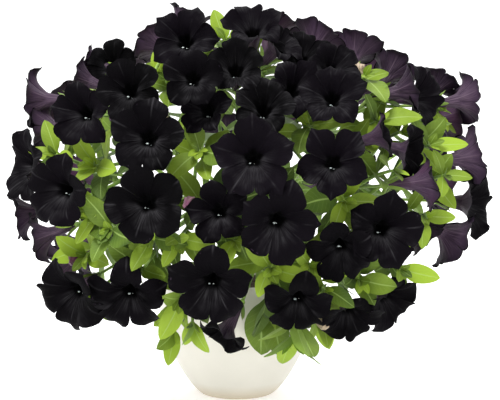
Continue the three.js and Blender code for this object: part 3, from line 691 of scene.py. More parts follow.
def velvet_material():
    """The face of a petal: near-black velvet, with painted highlights where it faces up and painted shade in
    the throat
    """
    sheen = {"Sheen Weight": 0.02, "Sheen Roughness": 0.3, "Sheen Tint": VELVET_SHEEN}
    look = Look("petal_velvet", VELVET, 0.7, {**sheen, "Specular IOR Level": 0.03})
    share, off, chance = look.grain()
    dark = (chance * 0.5 + look.noise(35) * 0.6).ramp((0.25, VELVET), (0.95, VELVET_PURPLE))
    streaks = look.petal_streaks(share, off, chance)
    patches = look.noise(75, 2).ramp((0.42, 0), (0.62, 1))
    upward = look.add("ShaderNodeNewGeometry", {}, "Normal").parts()[2]
    # Painted highlights, grey, where the petal faces up: streaks by the throat, patches, and along the folds
    painted_throat_highlight = (streaks * 0.75 + 0.2) * share.part_of(0.55, 0.03) ** 1.6 * upward.part_of(-0.25, 0.6)
    painted_sheen = (streaks * 0.3 + 0.1) * patches * upward.part_of(0.1, 0.7)
    edges = (off.part_of(0.9, 1) * 0.45).at_least(off.part_of(0.07, 0)) * patches
    folds = edges * (upward.part_of(-0.5, 0.4) * 0.65)
    colour = look.mix(painted_throat_highlight.at_least(painted_sheen).at_least(folds), dark, THROAT_PAINTED_HIGHLIGHT)
    # Painted shade: the throat and the tube inside it turn black
    colour = look.mix(share.part_of(-0.1, 0.05), PAINTED_THROAT_SHADE, colour)
    look.dress(colour, streaks * 0.7 + look.noise(520), 0.45, 0.0006)
    return look.material


def lavender_material():
    """The underside of a petal: dark purple with paler streaks from the tube, which is pale itself"""
    sheen = {"Sheen Weight": 0.06, "Sheen Roughness": 0.45, "Sheen Tint": LAVENDER_SHEEN}
    look = Look("petal_lavender", LAVENDER, 0.6, {**sheen, "Specular IOR Level": 0.15})
    share, off, chance = look.grain()
    body = (chance * 0.5 + look.noise(40) * 0.6).ramp((0.3, LAVENDER), (0.7, LAVENDER_PALE), (0.95, MAGENTA))
    streaks = look.petal_streaks(share, off, chance) * 0.8
    pale = streaks.at_least(off.part_of(0.12, 0)) * share.part_of(0.75, -0.2)
    veins = (off + look.noise(55, 2) * 0.14).stripes(PETAL_VEINS).part_of(0, 0.3, 1, 0) * 0.5
    colour = look.mix(pale, body, TUBE_GREY)
    colour = look.mix(veins.at_least(share.part_of(0.6, 1.1)), colour, LAVENDER_VEIN)
    look.dress(colour, veins + look.noise(420), 0.4, 0.0005)
    return look.material


def anther_material():
    look = Look("anther_pale", ANTHER, 0.35, {"Specular IOR Level": 0.7})
    look.fill(look.shader, {"Base Color": look.noise(500).ramp((0.3, ANTHER), (0.8, ANTHER_LIGHT))})
    return look.material


def spent_material(index):
    """Shrivelled petal: papery, creased lengthwise, one colour at the head and another down the tube"""
    head, tube = SPENT_COLOURS[index]
    look = Look(f"wilted_{index + 1}", head, 0.75, {"Sheen Weight": 0.2})
    along, around, _ = look.grain()
    lines = around.stripes(SPENT_STRIPES).part_of(0, 0.5, 1, 0)
    body = along.ramp((0.2, tube), (0.75, head))
    patchy = look.mix(look.noise(160).ramp((0.4, 0), (0.75, 0.6)), body, tube)
    dim = tuple(SPENT_DIM * level for level in head)
    look.dress(look.mix(lines * 0.5, patchy, dim), lines + look.noise(500), 0.6, 0.0006)
    return look.material


# Mesh pieces


class Build:
    """Points and faces gathered for one piece. Each point carries three numbers for the materials to read."""

    def __init__(self):
        self.points = []
        self.grain = []
        self.rims = []
        self.faces = []
        self.looks = []
        self.count = 0

    def add(self, points, faces, grain=(0.5, 0.5, 0.5), look=0, rim=None):
        self.points.append(points)
        self.grain.append(np.broadcast_to(grain, points.shape))
        self.rims.append(np.zeros(len(points), bool) if rim is None else rim)
        self.faces.extend(tuple(int(corner) + self.count for corner in face) for face in faces)
        self.looks.extend(int(each) for each in np.broadcast_to(look, len(faces)))
        self.count += len(points)

    def piece(self, name, materials, slot, node):
        """The piece, with its rims sharp, in place of the node"""
        mesh = bpy.data.meshes.new(name)
        mesh.from_pydata((np.concatenate(self.points) * MM).tolist(), [], self.faces)
        for material in materials:
            mesh.materials.append(material)
        mesh.polygons.foreach_set("material_index", self.looks)
        grain = np.concatenate(self.grain).astype(np.float32).ravel()
        mesh.attributes.new("grain", "FLOAT_VECTOR", "POINT").data.foreach_set("vector", grain)
        ends = np.empty(2 * len(mesh.edges), np.int32)
        mesh.edges.foreach_get("vertices", ends)
        sharp = np.concatenate(self.rims)[ends.reshape(-1, 2)].all(axis=1)
        mesh.shade_smooth()
        mesh.attributes.new("sharp_edge", "BOOLEAN", "EDGE").data.foreach_set("value", sharp)
        mesh.update()
        piece = add_object(name, mesh)
        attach(piece, "root")
        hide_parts(node)


def circle(steps):
    return np.linspace(0, 2 * math.pi, steps, endpoint=False)


def level_ring(radius, turns, height):
    """Points round the pot's axis"""
    height = np.broadcast_to(height, turns.shape)
    return np.stack([radius * np.cos(turns), radius * np.sin(turns), height], axis=-1)


def placed(origin, axes, *values):
    """Points from an origin, by values along axes"""
    for axis, value in zip(axes, values):
        origin = origin + np.multiply.outer(value, axis)
    return origin


def grid_faces(rows, columns, closed=False):
    """Faces between the points of a grid; closed joins its last column to its first"""
    i, j = np.meshgrid(np.arange(rows - 1), np.arange(columns if closed else columns - 1), indexing="ij")
    n = (j + 1) % columns
    below, above = i * columns, (i + 1) * columns
    return np.stack([below + j, below + n, above + n, above + j], axis=-1).reshape(-1, 4)


def tube_faces(rows, columns):
    """Faces of rings of points, with a flat face at either end"""
    first = tuple(range(columns))[::-1]
    last = tuple(range((rows - 1) * columns, rows * columns))
    return [*grid_faces(rows, columns, closed=True), first, last]


def skin_faces(rows, columns):
    """Faces of rings of points that close on two more points, one at either end"""
    faces = list(grid_faces(rows, columns, closed=True))
    low, high, last = rows * columns, rows * columns + 1, (rows - 1) * columns
    for k in range(columns):
        n = (k + 1) % columns
        faces.append((n, k, low))
        faces.append((last + k, last + n, high))
    return faces


def grid_grain(rows, columns, chance):
    """The grain of a grid's points: a number for the row, one for the column, and one for all"""
    chances = np.full(len(rows) * len(columns), chance)
    return np.stack([np.repeat(rows, len(columns)), np.tile(columns, len(rows)), chances], axis=-1)


def add_tube(build, path, radii, sides):
    """Rings round a path, turned as little as they can be from one to the next"""
    path = np.asarray(path)
    along = np.gradient(path, axis=0)
    along /= np.linalg.norm(along, axis=1)[:, None]
    level = np.cross(along[0], ASLANT)
    turns = circle(sides)
    rings = []
    for place, way, radius in zip(path, along, radii):
        level = square_to(way, level)
        other = np.cross(way, level)
        rings.append(place + radius * (np.outer(np.cos(turns), level) + np.outer(np.sin(turns), other)))
    build.add(np.concatenate(rings), tube_faces(len(path), sides))


def add_ball(build, middle, axes, look=0, rows=5, columns=8):
    """A closed ball with the given half axes"""
    tilts = np.linspace(-math.pi / 2, math.pi / 2, rows + 2)[1:-1]
    tilt, turn = np.meshgrid(tilts, circle(columns), indexing="ij")
    sphere = np.stack([np.cos(tilt) * np.cos(turn), np.cos(tilt) * np.sin(turn), np.sin(tilt)], axis=-1)
    points = np.concatenate([sphere.reshape(-1, 3), [(0, 0, -1), (0, 0, 1)]]) @ np.array(axes) + middle
    build.add(points, skin_faces(rows, columns), look=look)


# Pot and compost


def pot_radius(height):
    left = 1 - min(1, height / POT_FULL_HEIGHT)
    return POT_FOOT_RADIUS + (POT_RIM_RADIUS - POT_FOOT_RADIUS) * (1 - left**POT_SIDE_ROUND) ** POT_FOOT_ROUND


def make_pot():
    """A bowl turned from a profile: foot, outside, rounded rim, inside"""
    rim_base = POT_HEIGHT - 2 * POT_EDGE
    outside = [(pot_radius(z), z) for z in POT_HEIGHT * POT_LEVELS]
    below = [(radius, z) for radius, z in outside if z < rim_base]
    inside = [(pot_radius(z) - POT_WALL, z) for z in np.linspace(rim_base, POT_WALL, POT_INSIDE_STEPS)]
    foot = [(POT_FOOT_RADIUS - inset, z) for inset, z in POT_FOOT_EDGE]
    quarter = np.linspace(math.pi / 2, 0, POT_EDGE_STEPS)
    outer, inner = POT_RIM_RADIUS - POT_EDGE, POT_RIM_RADIUS - POT_WALL + POT_EDGE
    arcs = [(outer, POT_EDGE, turn) for turn in quarter]
    arcs += [(inner, -POT_EDGE, turn) for turn in quarter[::-1]]
    level = POT_HEIGHT - POT_EDGE
    rim = [(r + edge * math.sin(turn), level + POT_EDGE * math.cos(turn)) for r, edge, turn in arcs]
    profile = [*foot, *below, *rim, *inside]
    rings = [level_ring(radius, circle(POT_SIDES), z) for radius, z in profile]
    build = Build()
    points = np.concatenate([*rings, [(0, 0, 0), (0, 0, POT_WALL)]])
    build.add(points, skin_faces(len(rings), POT_SIDES))
    build.piece("pot_bowl", [pot_material()], "pot", "pot")


def compost_radius(height):
    return pot_radius(height) - POT_WALL - COMPOST_CLEARANCE


def make_compost():
    """A crumbly top with loose crumbs pressed into it, on a plain body that fills the pot"""
    draw = draws(COMPOST_SEED)
    turns = circle(COMPOST_SIDES)
    rim = compost_radius(COMPOST_TOP)
    levels = np.linspace(POT_WALL + COMPOST_FLOOR_GAP, COMPOST_TOP - 1, COMPOST_LEVELS)
    rings = [level_ring(compost_radius(z), turns, z) for z in levels]
    for reach in COMPOST_RINGS:
        crown = COMPOST_TOP + COMPOST_CROWN * (1 - reach)
        heights = [crown + draw(*LUMP_RISE) for _ in turns]
        radii = rim * reach * np.array([draw(*LUMP_REACH) for _ in turns]).clip(0, 1 / reach)
        rings.append(level_ring(radii, turns, heights))
    build = Build()
    points = np.concatenate([*rings, [(0, 0, levels[0]), (0, 0, COMPOST_TOP + COMPOST_CROWN)]])
    build.add(points, skin_faces(len(rings), COMPOST_SIDES))
    for _ in range(CRUMBS):
        reach = rim * math.sqrt(draw(0, CRUMB_SPREAD))
        turn = draw(0, 2 * math.pi)
        size = draw(*CRUMB_SIZE)
        height = COMPOST_TOP + COMPOST_CROWN * (1 - reach / rim)
        axes = np.diag([size * draw(*span) for span in (CRUMB_WIDTH, CRUMB_WIDTH, CRUMB_HEIGHT)])
        add_ball(build, vec(reach * math.cos(turn), reach * math.sin(turn), height), axes, rows=3, columns=6)
    build.piece("compost_crumb", [compost_material()], "compost", "compost")


# Blooms


def facing(turn, tilt):
    """The way that something faces: turned right of the viewer and tilted up, in degrees"""
    t, e = math.radians(turn), math.radians(tilt)
    axis = vec(math.sin(t) * math.cos(e), -math.cos(t) * math.cos(e), math.sin(e))
    right = vec(math.cos(t), math.sin(t), 0)
    return axis, right, np.cross(axis, right)


def filling_rows(rows):
    """Rows for the pairs of blooms that fill the rest of the dome"""
    draw = draws(FILL_SEED)
    filled = list(rows)
    for k in range(FILL_PLACES):
        rise = 1 - FILL_DEPTH * (k + 0.5) / FILL_PLACES
        turn = k * GOLDEN_TURN
        ring = math.sqrt(1 - rise**2) * draw(*FILL_INSET)
        across = DOME_MIDDLE[0] + DOME_REACH[0] * ring * math.sin(math.radians(turn))
        toward = DOME_REACH[1] * ring * math.cos(math.radians(turn))
        up = DOME_MIDDLE[2] + DOME_REACH[2] * rise
        lean = math.radians(draw(*PAIR_LEAN))
        tilt = FILL_TILT * rise
        _, right, upward = facing(turn, tilt)
        pair = []
        for end in (-1, 1):
            aside = end * PAIR_APART * math.cos(lean) / 2
            above = end * PAIR_APART * math.sin(lean) / 2
            place = vec(across, -toward, up) + aside * right + above * upward
            facing_right = turn + PAIR_TURN * aside + draw(*FILL_WANDER[0])
            facing_up = tilt + PAIR_TURN * above + draw(*FILL_WANDER[1])
            wide = draw(*FILL_WIDTH)
            pair.append((place[0], -place[1], place[2], wide, facing_right, facing_up, draw(*FILL_ROLL)))
        middle = vec(across, toward, up)
        near = any(apart(vec(*row[:3]), middle) < FILL_ROOM for row in filled)
        if not near and toward < FILL_FROM:
            filled.extend(pair)
    return filled[len(rows) :]


def bloom_of(row, index):
    """A bloom from its row: places, sizes in millimetres, and what chance gives each one"""
    across, toward, up, wide, turn, tilt, roll, star = (*row, 0)[:8]
    draw = draws(index + 1)
    axis, right, upward = facing(turn, tilt)
    throat = vec(across, -toward, up)
    length = TUBE_LENGTH[0] + TUBE_LENGTH[1] * wide
    return {
        "throat": throat,
        "axis": axis,
        "right": right,
        "upward": upward,
        "roll": math.radians(roll),
        "reach": wide / 2,
        "notch": NOTCH_SHARE - STAR_NOTCH * star,
        "height": LIMB_HEIGHT[0] + LIMB_HEIGHT[1] * wide,
        "throat_radius": THROAT_RADIUS[0] + THROAT_RADIUS[1] * wide,
        "length": length,
        "foot": throat - length * axis,
        "curls": [(draw(*CURL) + STAR_CURL * star) * wide / 2 for _ in range(LOBES)],
        "wave": draw(*WAVE) * wide,
        "wave_place": draw(0, 2 * math.pi),
        "lobes": [draw(*LOBE_REACH) for _ in range(LOBES)],
        "folds": [[draw(*span) for span in FOLD_SPANS] for _ in range(FOLDS)],
        "chance": draw(0, 1),
    }


def bloom_points(bloom, reach, angle, along):
    turn = angle + bloom["roll"]
    axes = (bloom["right"], bloom["upward"], bloom["axis"])
    along = along * np.ones_like(turn)
    return placed(bloom["throat"], axes, reach * np.cos(turn), reach * np.sin(turn), along)


def limb_ring(bloom, share, angle, off, lobe, aside):
    """A ring of the limb: share is 0 at the throat and 1 at the rim; aside is half the petal's thickness"""
    place = bloom["wave_place"]
    middle = np.cos(off / LOBE_TURN * math.pi)
    pointed = LOBE_POINT * (POINTED[0] + POINTED[1] * bloom["chance"])
    point = pointed * np.exp(-((off / LOBE_POINT_TURN) ** 2))
    notch = bloom["notch"] - NOTCH_DEEPER
    lobe_reach = np.array(bloom["lobes"])[lobe]
    rim = bloom["reach"] * (notch + (lobe_reach - notch) * np.maximum(0, middle) ** LOBE_FULLNESS + point)
    ragged = 1 + RIM_RAGGED * sum(np.sin(many * angle + part * place) for many, part in RIM_RAGS)
    throat = bloom["throat_radius"] * (1 + THROAT_PINCH * (1 - share) * np.cos(LOBES * angle))
    reach = throat + (rim * ragged - bloom["throat_radius"]) * share
    flare = bloom["height"] * (1 - (1 - share) ** FLARE_ROUND)
    curl = np.array(bloom["curls"])[lobe] * share**3 * middle**2
    wave = bloom["wave"] * share**2 * np.sin(WAVES * angle + place)
    seam = np.abs(2 * off / LOBE_TURN)
    rise = 4 * share * (1 - share)
    rib = PETAL_RIB * rise * np.exp(-((seam / PETAL_RIB_TURN) ** 2))
    crease = PETAL_CREASE * (RIM_CREASE * share + rise) * seam**3 - rib
    ruffle = PETAL_RUFFLE * bloom["reach"] * share**4 * np.sin(RUFFLES * angle + 3 * place)
    for fold_place, turn, height in bloom["folds"]:
        away = (angle - fold_place + math.pi) % (2 * math.pi) - math.pi
        ruffle = ruffle + height * share**1.5 * np.exp(-((away / turn) ** 2))
    return bloom_points(bloom, reach, angle, flare - curl + wave - crease + ruffle + aside)


def lobe_angles():
    """Angles round a bloom, closer at the notches, with their offsets from a lobe's middle and their lobes"""
    steps = np.linspace(-1, 1, LOBE_STEPS, endpoint=False)
    offs = np.tile(LOBE_TURN / 2 * np.sin(steps * math.pi / 2), LOBES)
    lobes = np.repeat(np.arange(LOBES), LOBE_STEPS)
    return lobes * LOBE_TURN + offs, offs, lobes


def add_bloom(build, bloom):
    """The whole skin of a bloom: up from the pit, over the face to the rim, and down the back to the foot"""
    angle, off, lobe = lobe_angles()
    throat, length = bloom["throat_radius"], bloom["length"]
    rings, shares = [], []
    for depth in PIT_DEPTHS:
        left = (PIT_SHARE - depth) / PIT_SHARE
        radius = PIT_RADIUS + (throat - PIT_RADIUS) * left**PIT_NARROWING
        pinch = 1 + THROAT_PINCH * left * np.cos(LOBES * angle)
        rings.append(bloom_points(bloom, radius * pinch, angle, -depth * length))
        shares.append(-depth)
    rim_row = len(PIT_DEPTHS) + len(LIMB_SHARES) - 1
    for face, face_shares in ((1, LIMB_SHARES), (-1, LIMB_SHARES[-2::-1])):
        for share in face_shares:
            rings.append(limb_ring(bloom, share, angle, off, lobe, face * PETAL_THICK / 2 * (1 - share**2)))
            shares.append(share)
    for depth in TUBE_DEPTHS:
        radius = TUBE_END_RADIUS + (throat + PETAL_THICK / 2 - TUBE_END_RADIUS) * (1 - depth) ** TUBE_SWELL
        groove = 1 - TUBE_GROOVE * np.cos(LOBES * angle) * math.sin(math.pi * depth)
        rings.append(bloom_points(bloom, radius * groove, angle, -depth * length))
        shares.append(-depth)
    rows, columns = len(rings), len(angle)
    faces = [face[::-1] for face in tube_faces(rows, columns)]
    looks = [*(np.repeat(np.arange(rows - 1), columns) > rim_row).astype(int), 0, 1]
    grain = grid_grain(shares, np.abs(2 * off / LOBE_TURN), bloom["chance"])
    rim = np.repeat(np.arange(rows) == rim_row, columns)
    build.add(np.concatenate(rings), faces, grain, looks, rim)


def add_anthers(build, bloom, draw):
    """Pale anthers on the lower wall of the throat, or on its upward side where the throat lies level"""
    axis = bloom["axis"]
    down = vec(0, 0, -1) - vec(0, 0, -1).dot(axis) * axis
    if np.linalg.norm(down) < LEVEL_THROAT:
        down = bloom["upward"]
    down = unit(down)
    aside = np.cross(axis, down)
    radius = bloom["throat_radius"]
    sizes = [draw(*span) for *_, span in ANTHERS]
    for (low, side, deep, _), size in zip(ANTHERS, sizes):
        place = bloom["throat"] + down * radius * (low + draw(*ANTHER_DOWN))
        place = place + aside * radius * (side + draw(*ANTHER_ASIDE)) - axis * deep
        axes = [way * size * share for way, share in zip((down, aside, axis), ANTHER_SHAPE)]
        add_ball(build, place, axes, look=2)


def make_blooms(blooms):
    materials = [velvet_material(), lavender_material(), anther_material()]
    draw = draws(ANTHER_SEED)
    for name in sorted(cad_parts):
        if not name.startswith("bloom_"):
            continue
        build = Build()
        for number in name.split("_")[1:]:
            add_bloom(build, blooms[int(number) - 1])
            add_anthers(build, blooms[int(number) - 1], draw)
        build.piece(f"{name}_petals", materials, "petal", name)


# Wilted blooms


def make_spent(index, row):
    """A crumpled tube through the same rings as its solid, with lengthwise folds and a ragged head"""
    across, toward, up, length, turn, tilt, wide = row
    draw = draws(SPENT_SEED + index)
    axis, right, upward = facing(turn, tilt)
    head = vec(across, -toward, up)
    places, reaches = zip(*SPENT_RINGS)
    creases = np.array([[reach * draw(*SPENT_CREASE) for _ in range(SPENT_SIDES)] for reach in reaches])
    (deep, folds, twist), (shallow, wrinkles, lean) = SPENT_WAVES
    rows, sides = SPENT_GRID
    turns = circle(sides)
    corner = turns / (2 * math.pi) * SPENT_SIDES
    low = np.floor(corner).astype(int) % SPENT_SIDES
    between = (1 - np.cos((corner % 1) * math.pi)) / 2
    rings = []
    for along in np.linspace(-1, 0, rows):
        k = min(len(places) - 2, int(np.searchsorted(places, along, side="right")) - 1)
        part = (along - places[k]) / (places[k + 1] - places[k])
        part = part * part * (3 - 2 * part)
        reach = creases[k] * (1 - part) + creases[k + 1] * part
        smooth = reach[low] * (1 - between) + reach[(low + 1) % SPENT_SIDES] * between
        ragged = deep * np.sin(folds * turns + twist * along) * (1 + along)
        swell = 1 + ragged + shallow * np.sin(wrinkles * turns - lean * along)
        radius = wide / 2 * smooth * swell
        sway = length * (along + SPENT_RAGGED * np.sin(3 * turns + 2) * (1 + along))
        axes = (right, upward, axis)
        rings.append(placed(head, axes, radius * np.cos(turns), radius * np.sin(turns), sway))
    points = np.concatenate([*rings, [head - length * axis, head + SPENT_POINT * length * axis]])
    grain = grid_grain(np.linspace(0, 1, rows), np.abs(np.linspace(-1, 1, sides)), 0.5)
    build = Build()
    build.add(points, skin_faces(rows, sides), np.concatenate([grain, [(0, 0.5, 0.5), (1, 0.5, 0.5)]]))
    node = f"spent_bloom_{index + 1}"
    build.piece(f"{node}_petals", [spent_material(index)], "wilted", node)


# How the shoots grow


class Bezier:
    """A curve from start to end that leaves towards middle and arrives from it"""

    def __init__(self, start, middle, end):
        self.start = start
        self.middle = middle
        self.end = end

    def span(self):
        return apart(self.start, self.end)

    def point(self, t):
        return (1 - t) ** 2 * self.start + 2 * (1 - t) * t * self.middle + t * t * self.end

    def tangent(self, t):
        low, high = max(0, t - TANGENT_STEP), min(1, t + TANGENT_STEP)
        return unit(self.point(high) - self.point(low))


class Shoot:
    """A stem in its wedge round the pot, the forks where branches can leave, and its solid's corners"""

    def __init__(self, index):
        turn = math.radians(WEDGE_START) + (index + 0.5) * WEDGE_TURN
        self.out = vec(math.sin(turn), -math.cos(turn), 0)
        self.aside = vec(-self.out[1], self.out[0], 0)
        places = (
            (STEM_CIRCLE, COMPOST_TOP - STEM_DEPTH),
            (STEM_CIRCLE, STEM_BEND_HEIGHT),
            (STEM_TOP_CIRCLE, STEM_TOP),
        )
        self.stem = Bezier(*(vec(self.out[0] * radius, self.out[1] * radius, z) for radius, z in places))
        self.forks = [(self.stem.point(share), True) for share in STEM_FORKS]
        self.twigs = []
        self.name = f"shoot_{index + 1}"
        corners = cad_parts[self.name].data.vertices
        self.corners = KDTree(len(corners))
        for corner in corners:
            self.corners.insert(corner.co / MM, corner.index)
        self.corners.balance()

    def kept_in_wedge(self, place):
        along = max(WEDGE_TIP, place.dot(self.out))
        room = along * math.tan(WEDGE_TURN / 2) - WEDGE_MARGIN
        across = min(room, max(-room, place.dot(self.aside)))
        return vec(0, 0, place[2]) + along * self.out + across * self.aside

    def has_corner(self, place):
        """Whether the shoot's solid has a corner there"""
        return self.corners.find(place)[2] < FOUND


def shoot_at(shoots, place):
    turn = (math.atan2(place[0], -place[1]) - math.radians(WEDGE_START)) / WEDGE_TURN
    return shoots[math.floor(turn + SHOOTS) % SHOOTS]


def fork_for(shoot, end, axis):
    """A branch forks off the wood behind its end"""
    goal = end - FORK_BACK * axis
    top = shoot.stem.end
    far = apart(goal, top) - FORK_STEP
    behind = [fork for fork in shoot.forks if fork[1] or apart(fork[0], top) < far]

    def detour(fork):
        return apart(fork[0], goal) - FORK_PULL * (goal - fork[0]).dot(axis)

    return min(behind, key=detour)


def branch_line(shoot, start, end, axis, bend):
    back, sideways, rise = bend
    middle = end - back * apart(start, end) * axis + sideways * shoot.aside + vec(0, 0, rise)
    return Bezier(start, shoot.kept_in_wedge(middle), end)


def stations_of(line, whorls):
    """Stations along a twig: share, twist, and the sections of the leaves there, or that they close"""
    step = WHORL_STEP / line.span()
    stations = [(0, 0, 0), (TWIG_BEND, 0, 0)]
    for k, (share, sections) in enumerate(whorls):
        stations.append((min(share, 1 - step), k * WHORL_TWIST, sections))
        if share < 1:
            stations.append((share + step, k * WHORL_TWIST, "closing"))
    stations.append((1, max(0, len(whorls) - 1) * WHORL_TWIST, 0))
    return stations


def straight_stretches(stations):
    """The twig's corners, as shares of its line"""
    return [share for share, _, sections in stations if sections != "closing"]


def on_twig(line, stations, share):
    """A point on the straight stretches of a twig, where another can fork off it"""
    shares = straight_stretches(stations)
    after = next(k for k, each in enumerate(shares) if each > share)
    low, high = shares[after - 1], shares[after]
    part = (share - low) / (high - low)
    return (1 - part) * line.point(low) + part * line.point(high)


def frames_of(line, stations):
    """Each station's place, the way along, and a function that gives the way to a side"""
    level = np.cross(vec(0, 0, 1), line.tangent(0))
    frames = []
    for share, twist, _ in stations:
        along = line.tangent(share)
        level = square_to(along, level)
        other = np.cross(along, level)

        def toward(turn, level=level, other=other, twist=twist):
            angle = math.radians(turn + twist)
            return math.cos(angle) * level + math.sin(angle) * other

        frames.append((line.point(share), along, toward))
    return frames


def corners_found(shoot, line, stations):
    """How many of the twig's own corners the shoot's solid has"""
    frames = frames_of(line, stations)[1:]
    corners = [place + TWIG_RADIUS * toward(turn) for place, _, toward in frames for turn in (0, 120, 240)]
    return sum(shoot.has_corner(corner) for corner in corners)


def grow_twig(shoot, end, axis, leaf, is_tip, outer_whorl):
    """Finds the way that a branch takes in the shoot's solid; one that didn't grow is kept without a line"""
    ends = [end - depth * axis for depth in (TIP_DEPTHS if is_tip else (0,))]
    fork = fork_for(shoot, ends[0], axis)
    most, line, stations = 1, None, None
    for each in ends:
        for bend in BENDS:
            tried = branch_line(shoot, fork[0], each, axis, bend)
            inner_whorl = [INNER_WHORL] if tried.span() > LONG_BRANCH else []
            tried_stations = stations_of(tried, TIP_WHORLS if is_tip else [*inner_whorl, *outer_whorl])
            found = corners_found(shoot, tried, tried_stations)
            if found > most:
                most, line, stations = found, tried, tried_stations
    shoot.forks = [each for each in shoot.forks if each[1] or each is not fork]
    if line and not is_tip:
        shoot.forks.extend((on_twig(line, stations, share), False) for share in TWIG_FORKS)
    shoot.twigs.append({"shoot": shoot, "line": line, "stations": stations, "leaf": leaf, "is_tip": is_tip})


def leaf_at(root, way, outward, spread, upper, length, breadth):
    """A leaf that opens from the way along its twig towards outward, its face to upper"""
    opened = math.radians(spread)
    along = math.sin(opened) * outward + math.cos(opened) * way
    sizes = {"length": length, "wide": length * breadth}
    return {"root": root, "along": along, "normal": square_to(along, upper), **sizes}


def leaves_of(frame_there, leaf, draw):
    """A whorl has a leaf on each side of the twig, each with its tries"""
    length, spread = leaf
    leaves = []
    for side in range(3):
        turn = draw(-LEAF_TURN, LEAF_TURN)
        tilt = vec(draw(-LEAF_TILT, LEAF_TILT), draw(-LEAF_TILT, LEAF_TILT), LEAF_LIFT)
        size = length * draw(*LEAF_SIZE)
        breadth = draw(*LEAF_WIDTH)
        tries = []
        for share, further in LEAF_TRIES if frame_there else ():
            place, way, toward = frame_there
            outward = toward(120 * side + 60)
            opened = spread + turn + further
            tries.append(leaf_at(place, way, outward, opened, way + tilt, size * share, breadth))
        leaves.append(tries)
    return leaves


def leaf_tip(leaf):
    return leaf["root"] + leaf["length"] * (leaf["along"] - LEAF_DROOP * leaf["normal"])


def branches_of(blooms):
    """A branch to each bloom: its end, axis, leaf length and spread, whether it's a leafy tip, outer whorl"""
    feet = [(bloom["foot"], bloom["axis"]) for bloom in blooms]
    for across, toward, up, length, turn, tilt, _ in SPENT_BLOOMS:
        axis, _, _ = facing(turn, tilt)
        feet.append((vec(across, -toward, up) - length * axis, axis))
    leaf = (BRANCH_LEAF, LEAF_SPREAD)
    whorls = [[] if index < len(FRONT_BLOOMS) else [OUTER_WHORL] for index in range(len(feet))]
    return [(foot - FOOT_GAP * axis, axis, leaf, False, whorl) for (foot, axis), whorl in zip(feet, whorls)]


def leafy_tips():
    """The same for each leafy tip"""
    tips = []
    for row in LEAFY_TIPS:
        across, toward, up, turn, tilt, length, spread = (*row, LEAF_SPREAD)[:7]
        tips.append((vec(across, -toward, up), facing(turn, tilt)[0], (length, spread), True, []))
    return tips


def grow_leaves(twig, draw):
    """The leaves of a twig that its shoot's solid has; a tip that didn't grow draws its numbers too"""
    line, stations = twig["line"], twig["stations"] or [(0, 0, sections) for _, sections in TIP_WHORLS]
    frames = frames_of(line, stations) if line else [None] * len(stations)
    grown = []
    for (_, _, sections), frame_there in zip(stations, frames):
        if sections and sections != "closing":
            for tries in leaves_of(frame_there, twig["leaf"], draw):
                grown.extend([leaf for leaf in tries if twig["shoot"].has_corner(leaf_tip(leaf))][:1])
    return grown


def grow_shoots(blooms):
    """Shoots with their twigs and leaves, grown in the same order as their solids"""
    shoots = [Shoot(k) for k in range(SHOOTS)]

    def far(each):
        return apart(each[0], shoot_at(shoots, each[0]).stem.end)

    for group in (branches_of(blooms), leafy_tips()):
        for branch in sorted(group, key=far):
            grow_twig(shoot_at(shoots, branch[0]), *branch)
    draw = draws(LEAF_SEED)
    twigs = [twig for shoot in shoots for twig in shoot.twigs]
    for twig in sorted(twigs, key=lambda twig: not twig["is_tip"]):
        twig["leaves"] = grow_leaves(twig, draw)
    return shoots


# Leaves, twigs and stems as they look


def add_leaf(build, leaf, draw, thick=LEAF_THICK, fullness=LEAF_FULLNESS, grid=LEAF_GRID):
    """A blade with a soft fold along its midrib, wavy margins and a short stalk"""
    rows, columns = grid
    length, wide, normal = leaf["length"], leaf["wide"], leaf["normal"]
    ripple, turn, bow, twist, chance = [draw(*span) for span in LEAF_DRAWS]
    shares = np.linspace(0, 1, rows)
    blade = np.clip((shares - LEAF_STALK) / (1 - LEAF_STALK), 0, 1)
    stalk = LEAF_STALK_WIDTH * length * (1 - blade) + LEAF_END_WIDTH * wide
    half = wide / 2 * np.sin(math.pi * blade**LEAF_BASE) ** fullness
    half = np.maximum(half, stalk * (shares < 0.5))
    half[-1] = LEAF_END_WIDTH * wide
    share, column = np.meshgrid(shares, np.linspace(-1, 1, columns), indexing="ij")
    across = half[:, None] * column * (LEAF_BROAD - LEAF_SLIMMER * chance)
    fold = LEAF_FOLD * (np.sqrt(across**2 + LEAF_SOFTNESS) - LEAF_FOLD_SINK)
    wavy = LEAF_RIPPLE * wide * ripple * np.sin(LEAF_WAVES * share + turn + 2 * np.sign(column)) * column**2
    lift = -LEAF_DROOP * length * share**2 + fold + wavy + twist * across * share
    sideways = across + bow * length * np.sin(math.pi * share)
    axes = (leaf["along"], np.cross(normal, leaf["along"]), normal)
    middle = placed(leaf["root"], axes, length * share, sideways, lift)
    rounded = thick / 2 * (1 - LEAF_EDGE_THINNER * np.abs(column) ** 1.5) * (1 - LEAF_TIP_THINNER * share**3)
    skin = np.multiply.outer(rounded, normal)
    points = np.concatenate([(middle + skin).reshape(-1, 3), (middle - skin).reshape(-1, 3)])
    count = rows * columns
    top = grid_faces(rows, columns)
    index = np.arange(count).reshape(rows, columns)
    edge = np.concatenate([index[0], index[1:, -1], index[-1, -2::-1], index[-2:0:-1, 0]])
    onward = np.roll(edge, -1)
    sides = np.stack([onward, onward + count, edge + count, edge], axis=-1)
    grain = grid_grain(shares, np.abs(column[0]), chance)
    rim = np.zeros(2 * count, bool)
    rim[edge] = rim[edge + count] = True
    looks = np.repeat([0, 1], [len(top), len(top) + len(sides)])
    build.add(points, np.concatenate([top, top[:, ::-1] + count, sides]), np.tile(grain, (2, 1)), looks, rim)


